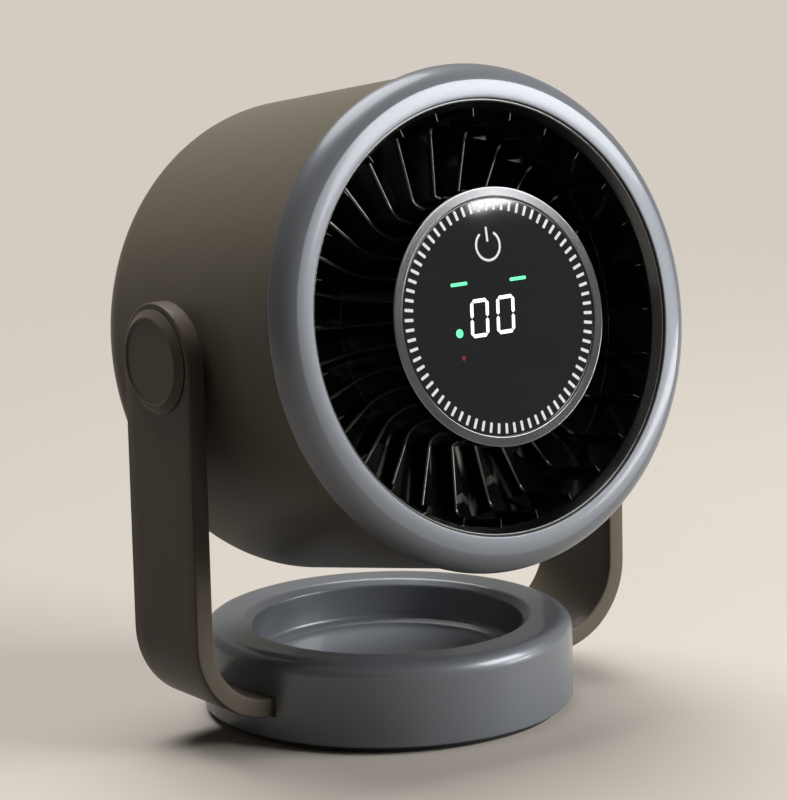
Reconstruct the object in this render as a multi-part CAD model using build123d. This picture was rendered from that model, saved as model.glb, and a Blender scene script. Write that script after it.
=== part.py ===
from build123d import *
import os
from math import cos, radians, sin

# Air circulator fan: a round head that tilts between the arms of a U-shaped yoke on a low round base.
# Millimetres and degrees. +Z is up, the fan blows towards -Y, and the origin is the middle of the
# base on the table. Head pieces are drawn about the Z axis, forward is +Z there, and HEAD turns them.

# Whole object
PIVOT_HEIGHT = 129.5
HEAD_TILT = 10.73
HEAD = Pos(0, 0, PIVOT_HEIGHT) * Rot(90 - HEAD_TILT, 0, 0)
SIDES = {"left": Rot(0, -90, 0), "right": Rot(0, 90, 0)}

# Base
BASE_RADIUS = 62.8
BASE_TOP = 30.4
BASE_WALL = 2.4
BASE_ROUND = 5.0
DISH_RIM_RADIUS = 48.5
DISH_RIM_DROP = 2.0
DISH_RADIUS = 45.0
DISH_FLOOR = 15.4
FOOT_HEIGHT = 2.4
PLATE_THICKNESS = 3.0
PLATE_TOP = FOOT_HEIGHT + PLATE_THICKNESS
PLATE_RADIUS = BASE_RADIUS - BASE_WALL
FOOT_RECESS = 1.0
FOOT_RADIUS = 59.5
BASE_BOSS_RADIUS = 3.6
BASE_BOSS_PLACE = 55.2
BASE_SCREW_ANGLES = (45, 135, 225, 315)
SCREW_RADIUS = 1.5
SCREW_HEAD_RADIUS = 2.9
SCREW_HEAD_HEIGHT = 1.5

# Yoke
ARM_INNER = 82.6
ARM_THICKNESS = 6.2
ARM_OUTER = ARM_INNER + ARM_THICKNESS
ARM_WIDTH = 38.0
YOKE_BEND = 25.4
YOKE_FOOT_HEIGHT = 13.5
JOGGLE_OUTER = 56.5
JOGGLE_INNER = 49.0
JOGGLE_BEND = 6.0
SLOT_GAP = 0.3

# Pivots: distances along X from the middle of the head
TRUNNION_FACE = 81.0
TRUNNION_PAD_RADIUS = 14.0
TRUNNION_RADIUS = 8.0
TRUNNION_INNER = 70.4
COUNTERBORE_RADIUS = 11.0
COUNTERBORE_DEPTH = 3.2
BUSH_RADIUS = 6.0
BUSH_FLANGE_RADIUS = 9.0
BUSH_FLANGE = 0.8
PIN_RADIUS = 4.0
PIN_FIT = 0.05
PIN_HEAD_RADIUS = 8.5
INSERT_RADIUS = 5.0
INSERT_BORE = 3.2
CAP_RADIUS = 17.0
CAP_FACE_RADIUS = 14.0
CAP_RIM = 0.6
CAP_HEIGHT = 2.5
CAP_RECESS = 0.5
CAP_EDGE = 0.5

# Barrel and front bezel: depths are measured forward from the pivot
BARREL_RADIUS = 80.3
BARREL_WALL = 2.2
BARREL_INNER = BARREL_RADIUS - BARREL_WALL
BARREL_FRONT = 53.6
BARREL_BACK = -50.3
BARREL_ROUND = 13.0
REAR_OPENING_RADIUS = 63.8
BEZEL_RADIUS = 82.0
BEZEL_BACK = 54.3
BEZEL_ROUND = 10.0
BEZEL_SHOULDER = 54.7
BAND_FRONT = 64.3
BAND_EDGE = 0.6

# Air duct and guide vanes
DUCT_RADIUS = 67.0
DUCT_WALL = 2.3
THROAT_FRONT = 63.4
THROAT_RADIUS = 69.9
FLANGE_BACK = 50.0
FLANGE_FRONT = 52.0
FLANGE_RADIUS = BARREL_INNER - 0.4
DUCT_SCREW_PLACE = 73.1
DUCT_SCREW_ANGLES = (30, 150, 270)
HUB_RADIUS = 40.8
HUB_WALL = 2.0
HUB_INNER = HUB_RADIUS - HUB_WALL
HUB_BACK = 14.0
HUB_FRONT = 62.4
SLEEVE_RADIUS = 39.4
REAR_HUB_INNER = 37.6
BULKHEAD_BACK = 31.0
BULKHEAD_FRONT = 33.5
VANE_COUNT = 28
VANE_PHASE = -94.5
VANE_THICKNESS = 1.4
VANE_BACK = 15.0
VANE_BEND = 31.0
VANE_FRONT = 36.0
VANE_SWEEP = 6.0
VANE_RING_FRONT = 38.0
LAP_BACK = 35.0
LAP_RADIUS = 68.2
WALL_RIB_FRONT = 59.5
WALL_RIB_HEIGHT = 2.6
VANE_CORNER = 3.5
SHROUD_FRONT = 12.0
BELL_START = -26.0
BELL_BACK = -35.0

# Display on the front of the hub
CHROME_RADIUS = 41.6
CHROME_INNER = 38.2
CHROME_FRONT = 66.6
CHROME_EDGE = 0.4
LEDGE_BACK = 57.0
BOARD_BACK = 58.8
BOARD_FRONT = 60.4
LIGHT_RING_FRONT = 64.7
GLASS_BACK = 65.2
GLASS_FRONT = 66.3
TICK_COUNT = 72
TICK_INNER = 33.8
TICK_OUTER = 37.4
TICK_WIDTH = 1.1
DIGIT_HEIGHT = 12.4
DIGIT_WIDTH = 7.5
DIGIT_STROKE = 1.4
DIGIT_SLANT = 7.0
DIGIT_CENTRES = ((-8.05, 0.5), (2.35, 0.5))
DASH_CENTRES = ((-14.5, 12.0), (9.0, 11.2))
DASH_SIZE = (6.8, 1.5)
DOT_CENTRE = (-16.7, -3.4)
DOT_RADIUS = 1.4
SMALL_DOT_CENTRE = (-16.3, -11.3)
SMALL_DOT_RADIUS = 0.8

# Battery and control board inside the hub
CELL_RADIUS = 9.2
CELL_LENGTH = 65.2
CELL_OFFSET = 9.7
CELL_DEPTH = 48.2
TRAY_BACK = 37.0
TRAY_FLOOR = 1.6
CONTROL_BOARD_BACK = 34.6
CONTROL_BOARD_FRONT = 36.2
CONTROL_BOARD_RADIUS = 35.5

# Motor and impeller
SHAFT_RADIUS = 2.5
SHAFT_BACK = -21.6
SHAFT_FRONT = 28.0
BEARING_RADIUS = 6.0
BEARING_WIDTH = 4.0
MOUNT_TUBE_RADIUS = 8.0
MOUNT_FLANGE_RADIUS = 16.0
STATOR_BACK = 8.0
STATOR_FRONT = 24.0
STATOR_RADIUS = 21.0
STATOR_TEETH = 9
MAGNET_INNER = 21.6
MAGNET_OUTER = 23.5
CAN_RADIUS = 25.0
CAN_BACK = -7.0
CAN_FRONT = 25.5
CAN_FLOOR = 1.5
IMPELLER_HUB_RADIUS = 39.5
IMPELLER_TIP_RADIUS = 65.4
IMPELLER_BACK = -18.0
IMPELLER_FRONT = 11.0
BLADE_COUNT = 9
BLADE_PHASE = 12.0
BLADE_DEPTH = -4.5

# Rear grille, charging socket and power button
GRILLE_RADIUS = 63.6
GRILLE_RIM = 2.2
GRILLE_FLANGE_RADIUS = 73.2
GRILLE_FLANGE_BACK = -43.0
GRILLE_FLANGE_FRONT = -41.2
GRILLE_SCREW_PLACE = 69.5
GRILLE_SCREW_ANGLES = (30, 150, 270)
SLAT_COUNT = 48
SLAT_WIDTH = 1.5
SLAT_DEPTH = 3.0
POD_RADIUS = 21.5
POD_FRONT = -39.5
REAR_CAP_BACK = -53.0
REAR_BOARD_BACK = -44.6
REAR_BOARD_FRONT = -43.0
BUTTON_PLACE = 7.5
BUTTON_RADIUS = 5.0
BUTTON_GAP = 0.3
BUTTON_BACK = -54.0
SOCKET_PLACE = -8.0
SOCKET_WIDTH = 8.94
SOCKET_HEIGHT = 3.26


def rounded_face(corners):
    """Flat face through corners (x, y, rounding), where a rounding of 0 leaves the corner sharp."""
    points = [(x, y) for x, y, _ in corners]
    return make_face(FilletPolyline(*points, radius=[r for _, _, r in corners], close=True))


def lathe(corners):
    """Solid turned about Z from an outline of (radius, height, rounding) corners."""
    return revolve(Plane.XZ * rounded_face(corners), Axis.Z)


def disc(radius, bottom, top):
    """Plain cylinder on the Z axis between two heights."""
    return Pos(0, 0, bottom) * Cylinder(radius, top - bottom, align=(Align.CENTER, Align.CENTER, Align.MIN))


def tube(outer, inner, bottom, top):
    """Cylinder on the Z axis with a round hole through it."""
    return disc(outer, bottom, top) - disc(inner, bottom, top)


def slab(length, width, bottom, top):
    """Block centred on the Z axis between two heights."""
    return Pos(0, 0, bottom) * Box(length, width, top - bottom, align=(Align.CENTER, Align.CENTER, Align.MIN))


def spread(shape, angles, distance):
    """Copies of a shape at a distance from the Z axis, one at each angle from +X."""
    return [Rot(0, 0, angle) * Pos(distance, 0, 0) * shape for angle in angles]


def around(shape, count, phase=0.0):
    """Copies of a shape turned evenly about the Z axis."""
    return [Rot(0, 0, phase + 360 * index / count) * shape for index in range(count)]


def screw(head_bottom, head_top, tip):
    """Pan-head screw on the Z axis, from its head to its tip."""
    head = disc(SCREW_HEAD_RADIUS, min(head_bottom, head_top), max(head_bottom, head_top))
    return head + disc(SCREW_RADIUS, min(head_bottom, tip), max(head_bottom, tip))


# ---- Base ----


def yoke_slot(gap):
    """Space of the strap's straight foot where it goes through the base's side wall."""
    half = ARM_THICKNESS / 2 + gap
    return slab(2 * ARM_OUTER, ARM_WIDTH + 2 * gap, YOKE_FOOT_HEIGHT - half, YOKE_FOOT_HEIGHT + half)


def base_shell():
    """Round shell with a rounded top edge, a dish with a sloping rim, and screw bosses underneath."""
    shell = lathe([
        (BASE_RADIUS, FOOT_HEIGHT, 0.6),
        (BASE_RADIUS, BASE_TOP, BASE_ROUND),
        (DISH_RIM_RADIUS, BASE_TOP, 2.5),
        (DISH_RADIUS + 1, BASE_TOP - DISH_RIM_DROP, 0),
        (DISH_RADIUS, DISH_FLOOR + DISH_RIM_DROP, 0),
        (DISH_RADIUS - DISH_RIM_DROP, DISH_FLOOR, 0),
        (0, DISH_FLOOR, 0),
        (0, DISH_FLOOR - BASE_WALL, 0),
        (DISH_RADIUS + BASE_WALL, DISH_FLOOR - BASE_WALL, 0),
        (DISH_RIM_RADIUS + BASE_WALL, BASE_TOP - BASE_WALL, 0),
        (BASE_RADIUS - BASE_WALL, BASE_TOP - BASE_WALL, 0),
        (BASE_RADIUS - BASE_WALL, FOOT_HEIGHT, 0),
    ])
    boss_top = BASE_TOP - BASE_WALL / 2
    boss = disc(BASE_BOSS_RADIUS, PLATE_TOP, boss_top) - disc(SCREW_RADIUS, PLATE_TOP, boss_top - 5)
    slot_parts = yoke_slot(SLOT_GAP) - disc(DISH_RADIUS + BASE_WALL, 0, BASE_TOP)
    return shell - slot_parts + spread(boss, BASE_SCREW_ANGLES, BASE_BOSS_PLACE)


def base_plate():
    """Steel plate that closes the base, with screw holes and a shallow recess for the foot pad."""
    plate = disc(PLATE_RADIUS - 0.1, FOOT_HEIGHT, PLATE_TOP)
    plate -= disc(FOOT_RADIUS, FOOT_HEIGHT - 1, FOOT_HEIGHT + FOOT_RECESS)
    hole = disc(SCREW_RADIUS + 0.2, FOOT_HEIGHT, PLATE_TOP)
    hole += disc(SCREW_HEAD_RADIUS + 0.2, FOOT_HEIGHT, PLATE_TOP - 0.5)
    return plate - spread(hole, BASE_SCREW_ANGLES, BASE_BOSS_PLACE) - yoke_screw_spaces(0.2)


def base_foot_pad():
    """Round rubber pad that the fan stands on, with an eased lower edge."""
    return lathe([
        (0, 0, 0),
        (FOOT_RADIUS - 0.5, 0, 0),
        (FOOT_RADIUS, 0.5, 0),
        (FOOT_RADIUS, FOOT_HEIGHT + FOOT_RECESS, 0),
        (0, FOOT_HEIGHT + FOOT_RECESS, 0),
    ])


def base_ballast():
    """Two steel half moons under the dish, one on each side of the strap."""
    reach = DISH_RADIUS + BASE_WALL - 1.5
    low, high = PLATE_TOP, DISH_FLOOR - BASE_WALL - 0.4
    moon = disc(reach, low, high) & Pos(0, ARM_WIDTH / 2 + 1 + reach / 2, 0) * slab(2 * reach, reach, low, high)
    return [moon, Rot(0, 0, 180) * moon]


def base_plate_screws():
    """Four screws that hold the plate to the shell's bosses."""
    head_top = PLATE_TOP - 0.5
    one = screw(head_top, head_top - SCREW_HEAD_HEIGHT, PLATE_TOP + 9)
    return spread(one, BASE_SCREW_ANGLES, BASE_BOSS_PLACE)


def yoke_screw_spaces(gap=0.0):
    """Four countersunk screws, or with a gap their holes, that hold the strap to the plate."""
    bottom = FOOT_HEIGHT + FOOT_RECESS
    upright = (Align.CENTER, Align.CENTER, Align.MIN)
    head = Cone(SCREW_HEAD_RADIUS + gap, SCREW_RADIUS + gap, SCREW_HEAD_HEIGHT, align=upright)
    one = Pos(0, 0, bottom) * head + disc(SCREW_RADIUS + gap, bottom, PLATE_TOP + 5)
    return [Pos(x, y, 0) * one for x in (-32, 32) for y in (-12, 12)]


def yoke():
    """U-shaped strap: two round-topped arms, wide bends, and a foot that drops under the dish."""
    half = ARM_THICKNESS / 2
    top, middle = PIVOT_HEIGHT + ARM_WIDTH, ARM_INNER + half
    low = PLATE_TOP + half
    right = [(JOGGLE_INNER, low), (JOGGLE_OUTER, YOKE_FOOT_HEIGHT), (middle, YOKE_FOOT_HEIGHT), (middle, top)]
    left = [(-x, z) for x, z in reversed(right)]
    bends = [YOKE_BEND, JOGGLE_BEND, JOGGLE_BEND, JOGGLE_BEND, JOGGLE_BEND, YOKE_BEND]
    path = Plane.XZ * FilletPolyline(*left, *right, radius=bends)
    section = Plane(origin=path @ 0, x_dir=(1, 0, 0), z_dir=path % 0) * Rectangle(ARM_THICKNESS, ARM_WIDTH)
    strap = sweep(section, path=path)
    across = 2 * ARM_OUTER + 10
    side_view = Pos(0, PIVOT_HEIGHT / 2) * Rectangle(ARM_WIDTH, PIVOT_HEIGHT)
    side_view += Pos(0, PIVOT_HEIGHT) * Circle(ARM_WIDTH / 2)
    strap &= extrude(Plane.YZ * side_view, amount=across / 2, both=True)
    for turn in SIDES.values():
        hole = disc(BUSH_RADIUS, ARM_INNER - 1, ARM_OUTER)
        hole += disc(COUNTERBORE_RADIUS, ARM_OUTER - COUNTERBORE_DEPTH, ARM_OUTER + 1)
        strap -= Pos(0, 0, PIVOT_HEIGHT) * turn * hole
    return strap - [Pos(x, y, 0) * disc(SCREW_RADIUS, 0, PLATE_TOP + 5) for x in (-32, 32) for y in (-12, 12)]


def pivot_bush():
    """Flanged bush pressed into the arm."""
    flange_bottom = ARM_OUTER - COUNTERBORE_DEPTH
    bush = disc(BUSH_RADIUS, ARM_INNER, flange_bottom)
    bush += disc(BUSH_FLANGE_RADIUS, flange_bottom, flange_bottom + BUSH_FLANGE)
    return bush - disc(PIN_RADIUS + PIN_FIT, ARM_INNER - 1, ARM_OUTER)


def friction_washer():
    """Washer between the arm and the pad on the barrel, which holds the head where it is left."""
    return tube(TRUNNION_PAD_RADIUS - 1.5, PIN_RADIUS + 0.3, TRUNNION_FACE + PIN_FIT, ARM_INNER)


def pivot_cap():
    """Round cap with a shallow face, a sloping side, and a spigot in the arm's counterbore."""
    top = ARM_OUTER + CAP_HEIGHT
    return lathe([
        (0, top - CAP_RECESS, 0),
        (CAP_FACE_RADIUS - CAP_RECESS, top - CAP_RECESS, 0),
        (CAP_FACE_RADIUS, top, 0),
        (CAP_FACE_RADIUS + CAP_RIM, top, 0),
        (CAP_RADIUS, ARM_OUTER + CAP_EDGE, 0),
        (CAP_RADIUS, ARM_OUTER, 0),
        (COUNTERBORE_RADIUS, ARM_OUTER, 0),
        (COUNTERBORE_RADIUS, ARM_OUTER - 2, 0),
        (PIN_HEAD_RADIUS + 0.8, ARM_OUTER - 2, 0),
        (PIN_HEAD_RADIUS + 0.8, ARM_OUTER + 0.3, 0),
        (0, ARM_OUTER + 0.3, 0),
    ])


# ---- Head: pivots and outer housing ----


def pivot_pin():
    """Shoulder bolt from inside the arm's counterbore into the barrel's insert."""
    head_bottom = ARM_OUTER - COUNTERBORE_DEPTH + BUSH_FLANGE + 0.05
    pin = disc(PIN_HEAD_RADIUS, head_bottom, head_bottom + 1.9)
    pin += disc(PIN_RADIUS, TRUNNION_FACE, head_bottom)
    return pin + disc(INSERT_BORE, TRUNNION_INNER + 1, TRUNNION_FACE)


def pivot_insert():
    """Threaded brass sleeve moulded into the barrel's boss."""
    return tube(INSERT_RADIUS, INSERT_BORE, TRUNNION_INNER + 1, TRUNNION_FACE)


def barrel_envelope():
    """Outer form of the barrel without its hollow."""
    return lathe([
        (0, BARREL_FRONT, 0),
        (BARREL_RADIUS, BARREL_FRONT, 0),
        (BARREL_RADIUS, BARREL_BACK, BARREL_ROUND),
        (0, BARREL_BACK, 0),
    ])


def barrel():
    """Rear housing: a drum with a rounded back, a round opening for the grille, and inner bosses."""
    round_start, inner_round = BARREL_BACK + BARREL_ROUND, BARREL_ROUND - BARREL_WALL
    hollow = lathe([
        (0, BARREL_FRONT + 1, 0),
        (BARREL_INNER, BARREL_FRONT + 1, 0),
        (BARREL_INNER, round_start, 0),
        (BARREL_INNER - inner_round * 0.3, round_start - inner_round * 0.68, 0),
        (BARREL_INNER - inner_round * 0.68, round_start - inner_round * 0.92, 0),
        (BARREL_INNER - inner_round, BARREL_BACK + BARREL_WALL, 0),
        (0, BARREL_BACK + BARREL_WALL, 0),
    ])
    envelope = barrel_envelope()
    drum = envelope - hollow - disc(REAR_OPENING_RADIUS, BARREL_BACK - 1, 0)
    web = Pos(DUCT_SCREW_PLACE + 2.5, 0, 0) * slab(5, 4, FLANGE_BACK - 16, FLANGE_BACK)
    duct_boss = Pos(DUCT_SCREW_PLACE, 0, 0) * disc(3.6, FLANGE_BACK - 16, FLANGE_BACK) + web
    duct_boss -= Pos(DUCT_SCREW_PLACE, 0, 0) * disc(SCREW_RADIUS, FLANGE_BACK - 10, FLANGE_BACK)
    grille_boss = disc(4, BARREL_BACK, GRILLE_FLANGE_BACK)
    grille_hole = disc(SCREW_RADIUS, GRILLE_FLANGE_BACK - 3, GRILLE_FLANGE_BACK)
    bosses = [Rot(0, 0, angle) * duct_boss for angle in DUCT_SCREW_ANGLES]
    bosses += [envelope & boss for boss in spread(grille_boss, GRILLE_SCREW_ANGLES, GRILLE_SCREW_PLACE)]
    drum += bosses
    drum -= spread(grille_hole, GRILLE_SCREW_ANGLES, GRILLE_SCREW_PLACE)
    for turn in SIDES.values():
        drum += turn * (disc(TRUNNION_RADIUS, TRUNNION_INNER, TRUNNION_FACE) + disc(TRUNNION_PAD_RADIUS, 78.2, TRUNNION_FACE))
        drum -= turn * disc(INSERT_RADIUS, TRUNNION_INNER + 1, TRUNNION_FACE)
        drum -= turn * disc(INSERT_BORE, TRUNNION_INNER, TRUNNION_FACE)
    return drum


def front_bezel():
    """Ring on the front: a wide outer round, a crease, a nearly flat band, and a rear spigot."""
    outer_round = CenterArc((BEZEL_RADIUS - BEZEL_ROUND, BEZEL_SHOULDER), BEZEL_ROUND, 10, 56.4)
    inner = THROAT_RADIUS + 0.1
    spigot_outer = BARREL_INNER - 0.2
    spigot_inner = spigot_outer - 1.7
    rest = Polyline(
        outer_round @ 1,
        (inner + BAND_EDGE, BAND_FRONT),
        (inner, BAND_FRONT - BAND_EDGE),
        (inner, BAND_FRONT - 2.4),
        (BEZEL_RADIUS - 6, BAND_FRONT - 3.0),
        (BEZEL_RADIUS - 3, BEZEL_SHOULDER + 2.8),
        (BEZEL_RADIUS - 2.8, BEZEL_SHOULDER + 2.2),
        (spigot_inner, BEZEL_BACK + 1.5),
        (spigot_inner, FLANGE_FRONT),
        (spigot_outer, FLANGE_FRONT),
        (spigot_outer, BEZEL_BACK),
        (BARREL_RADIUS - 0.4, BEZEL_BACK),
        (BARREL_RADIUS + 0.4, BEZEL_BACK + 0.4),
        outer_round @ 0,
    )
    return revolve(Plane.XZ * make_face([outer_round, rest]), Axis.Z)


# ---- Head: air duct ----


def guide_vane():
    """One vane: a straight front plate with a sloping outer corner, and a curved tail."""
    root, tip = HUB_RADIUS - 1.2, LAP_RADIUS - 0.2
    corner_radius = DUCT_RADIUS - WALL_RIB_HEIGHT - VANE_CORNER
    plate_view = rounded_face([
        (root, VANE_BEND, 0),
        (tip, VANE_BEND, 0),
        (tip, VANE_RING_FRONT, 0),
        (corner_radius + VANE_RING_FRONT - VANE_FRONT, VANE_RING_FRONT, 0),
        (corner_radius, VANE_FRONT, 0),
        (root, VANE_FRONT, 0),
    ])
    half = VANE_THICKNESS / 2
    plate = extrude(Plane.XZ * plate_view, amount=half, both=True)
    depth = VANE_BEND - VANE_BACK
    bend_radius = (depth ** 2 + VANE_SWEEP ** 2) / (2 * VANE_SWEEP)
    turn = 2 * VANE_SWEEP / depth
    inner = CenterArc((bend_radius, VANE_BEND), bend_radius - half, 180, turn * 28)
    outer = CenterArc((bend_radius, VANE_BEND), bend_radius + half, 180, turn * 28)
    tail_view = make_face([inner, outer, Line(inner @ 0, outer @ 0), Line(inner @ 1, outer @ 1)])
    tail = extrude(Plane(origin=(root, 0, 0), x_dir=(0, 1, 0), z_dir=(1, 0, 0)) * tail_view, amount=tip - root)
    return plate + tail


def guide_vane_ring():
    """Guide vanes between a sleeve on the hub cup and a wall with a stepped front edge."""
    outer = DUCT_RADIUS + DUCT_WALL
    wall = lathe([
        (DUCT_RADIUS, SHROUD_FRONT, 0),
        (DUCT_RADIUS, VANE_RING_FRONT, 0),
        (LAP_RADIUS, VANE_RING_FRONT, 0),
        (LAP_RADIUS, LAP_BACK, 0),
        (outer, LAP_BACK, 0),
        (outer, SHROUD_FRONT, 0),
    ])
    sleeve = tube(HUB_RADIUS, SLEEVE_RADIUS, HUB_BACK, VANE_FRONT)
    return wall + sleeve + around(guide_vane(), VANE_COUNT, VANE_PHASE)


def throat_ring():
    """Front of the duct: flared wall, mounting flange, and a rib along the wall for each vane."""
    outer = DUCT_RADIUS + DUCT_WALL
    wall = lathe([
        (DUCT_RADIUS, VANE_RING_FRONT, 0),
        (DUCT_RADIUS, WALL_RIB_FRONT + 0.4, 0),
        (THROAT_RADIUS - 0.7, THROAT_FRONT, 0),
        (THROAT_RADIUS, THROAT_FRONT, 0),
        (THROAT_RADIUS, FLANGE_FRONT, 0),
        (FLANGE_RADIUS, FLANGE_FRONT, 0),
        (FLANGE_RADIUS, FLANGE_BACK, 0),
        (outer, FLANGE_BACK, 0),
        (outer, LAP_BACK, 0),
        (LAP_RADIUS, LAP_BACK, 0),
        (LAP_RADIUS, VANE_RING_FRONT, 0),
    ])
    wall -= spread(disc(SCREW_RADIUS + 0.2, FLANGE_BACK, FLANGE_FRONT), DUCT_SCREW_ANGLES, DUCT_SCREW_PLACE)
    rib_root = DUCT_RADIUS - WALL_RIB_HEIGHT
    rib_view = rounded_face([
        (DUCT_RADIUS + 0.6, VANE_RING_FRONT, 0),
        (DUCT_RADIUS + 0.6, WALL_RIB_FRONT, 0),
        (rib_root, WALL_RIB_FRONT, 0),
        (rib_root, VANE_FRONT + VANE_CORNER, 0),
        (rib_root - VANE_CORNER + VANE_RING_FRONT - VANE_FRONT, VANE_RING_FRONT, 0),
    ])
    rib = extrude(Plane.XZ * rib_view, amount=VANE_THICKNESS / 2, both=True)
    return wall + around(rib, VANE_COUNT, VANE_PHASE)


def hub_cup():
    """Centre hub: a cup for the battery and display, with a bulkhead for the motor and a thin rear skirt."""
    cup = lathe([
        (HUB_RADIUS, HUB_FRONT, 0),
        (HUB_RADIUS, VANE_FRONT, 0),
        (SLEEVE_RADIUS, VANE_FRONT, 0),
        (SLEEVE_RADIUS, HUB_BACK, 0),
        (REAR_HUB_INNER, HUB_BACK, 0),
        (REAR_HUB_INNER, TRAY_BACK - 2, 0),
        (HUB_INNER, TRAY_BACK, 0),
        (HUB_INNER, HUB_FRONT, 0),
    ])
    cup += tube(HUB_INNER + 0.1, MOUNT_TUBE_RADIUS + 0.2, BULKHEAD_BACK, BULKHEAD_FRONT)
    cup += tube(HUB_INNER + 0.1, HUB_INNER - 2, LEDGE_BACK, BOARD_BACK)
    tray_rib = Pos(HUB_INNER - 1, 0, 0) * slab(2.4, 4, BULKHEAD_FRONT, TRAY_BACK)
    board_post = Pos(HUB_INNER - 6, 0, 0) * disc(2, BULKHEAD_FRONT, CONTROL_BOARD_BACK)
    return cup + around(tray_rib, 4, 45) + around(board_post, 4)


def impeller_shroud():
    """Duct round the impeller, with a sleeve over the vane ring and a bell mouth at the back."""
    outer = DUCT_RADIUS + DUCT_WALL
    return lathe([
        (DUCT_RADIUS, SHROUD_FRONT, 0),
        (outer, SHROUD_FRONT, 0),
        (outer, SHROUD_FRONT + 5, 0),
        (outer + 1.9, SHROUD_FRONT + 5, 0),
        (outer + 1.9, SHROUD_FRONT - 2, 0),
        (outer, SHROUD_FRONT - 4, 0),
        (outer, BELL_START + 6, 0),
        (outer + 2, BELL_START - 2, 0),
        (BARREL_INNER - 0.2, BELL_BACK + 1, 0),
        (BARREL_INNER - 1.9, BELL_BACK, 0),
        (DUCT_RADIUS + 2.2, BELL_START - 3.5, 0),
        (DUCT_RADIUS, BELL_START + 5, 0),
    ])


def duct_screws():
    """Three screws through the vane ring's flange into the barrel's bosses."""
    one = screw(FLANGE_FRONT, FLANGE_FRONT + SCREW_HEAD_HEIGHT, FLANGE_BACK - 8)
    return spread(one, DUCT_SCREW_ANGLES, DUCT_SCREW_PLACE)


# ---- Head: display ----


def display_ring():
    """Bright ring that caps the hub, with a thin skirt down its side."""
    return lathe([
        (HUB_RADIUS + 0.05, HUB_FRONT - 2, 0),
        (CHROME_RADIUS, HUB_FRONT - 2, 0),
        (CHROME_RADIUS, CHROME_FRONT - CHROME_EDGE, 0),
        (CHROME_RADIUS - CHROME_EDGE, CHROME_FRONT, 0),
        (CHROME_INNER + CHROME_EDGE, CHROME_FRONT, 0),
        (CHROME_INNER, CHROME_FRONT - CHROME_EDGE, 0),
        (CHROME_INNER, HUB_FRONT, 0),
        (HUB_RADIUS + 0.05, HUB_FRONT, 0),
    ])


def display_glass():
    """Dark round glass with an eased front edge."""
    return lathe([
        (0, GLASS_BACK, 0),
        (CHROME_INNER - 0.1, GLASS_BACK, 0),
        (CHROME_INNER - 0.1, GLASS_FRONT - 0.5, 0),
        (CHROME_INNER - 0.6, GLASS_FRONT, 0),
        (0, GLASS_FRONT, 0),
    ])


def tick_light_ring():
    """Clear ring with a raised bar for each tick, which meets the glass."""
    ring = tube(CHROME_INNER - 0.1, TICK_INNER - 0.6, BOARD_FRONT, LIGHT_RING_FRONT)
    middle, length = (TICK_INNER + TICK_OUTER) / 2, TICK_OUTER - TICK_INNER
    bar = Pos(middle, 0, 0) * slab(length, TICK_WIDTH, LIGHT_RING_FRONT - 0.2, GLASS_BACK)
    return ring + around(bar, TICK_COUNT)


def display_board():
    """Round circuit board behind the glass."""
    return disc(HUB_INNER - 0.2, BOARD_BACK, BOARD_FRONT)


def segment_face(length):
    """One bar of a seven-segment digit: a long hexagon along x."""
    half, stroke = length / 2, DIGIT_STROKE / 2
    return make_face(Polyline(
        (-half, 0), (-half + stroke, stroke), (half - stroke, stroke),
        (half, 0), (half - stroke, -stroke), (-half + stroke, -stroke), close=True,
    ))


def digit_segments():
    """The six outer segments of each of the two digits, standing on the board up to the glass."""
    wide = DIGIT_WIDTH - DIGIT_STROKE
    tall = (DIGIT_HEIGHT - DIGIT_STROKE) / 2
    gap = 0.3
    lean = sin(radians(DIGIT_SLANT))
    bars = []
    for cx, cy in DIGIT_CENTRES:
        for end in (-1, 1):
            bars.append(Pos(cx + end * tall * lean, cy + end * tall) * segment_face(wide - gap))
            for level in (-0.5, 0.5):
                upright = Rot(0, 0, 90 - DIGIT_SLANT) * segment_face(tall - gap)
                bars.append(Pos(cx + end * wide / 2 + level * tall * lean, cy + level * tall) * upright)
    return [Pos(0, 0, BOARD_FRONT) * extrude(bar, amount=GLASS_BACK - BOARD_FRONT) for bar in bars]


def status_lights():
    """Two short light bars and two small round lights on the board."""
    height = GLASS_BACK - BOARD_FRONT
    length, width = DASH_SIZE
    lights = [Pos(x, y, BOARD_FRONT) * slab(length, width, 0, height) for x, y in DASH_CENTRES]
    for (x, y), radius in ((DOT_CENTRE, DOT_RADIUS), (SMALL_DOT_CENTRE, SMALL_DOT_RADIUS)):
        lights.append(Pos(x, y, BOARD_FRONT) * disc(radius, 0, height))
    return lights


# ---- Head: battery and boards in the hub ----


def cell_places():
    """Places of the two cells, which lie side by side across the hub."""
    return [Pos(0, y, CELL_DEPTH) * Rot(0, 90, 0) for y in (-CELL_OFFSET, CELL_OFFSET)]


def battery_cells():
    """Two round cells, each with a raised contact at one end."""
    body = Cylinder(CELL_RADIUS, CELL_LENGTH - 1.2) + disc(2.6, CELL_LENGTH / 2 - 1, CELL_LENGTH / 2)
    return [place * body for place in cell_places()]


def battery_tray():
    """Tray across the hub with two ribs that cradle the cells."""
    tray = disc(HUB_INNER - 0.3, TRAY_BACK, TRAY_BACK + TRAY_FLOOR)
    for x in (-20, 20):
        tray += Pos(x, 0, 0) * slab(3, 4 * CELL_RADIUS, TRAY_BACK + TRAY_FLOOR, CELL_DEPTH - 3)
    for place in cell_places():
        tray -= place * Cylinder(CELL_RADIUS + 0.02, CELL_LENGTH)
    return tray


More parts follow.
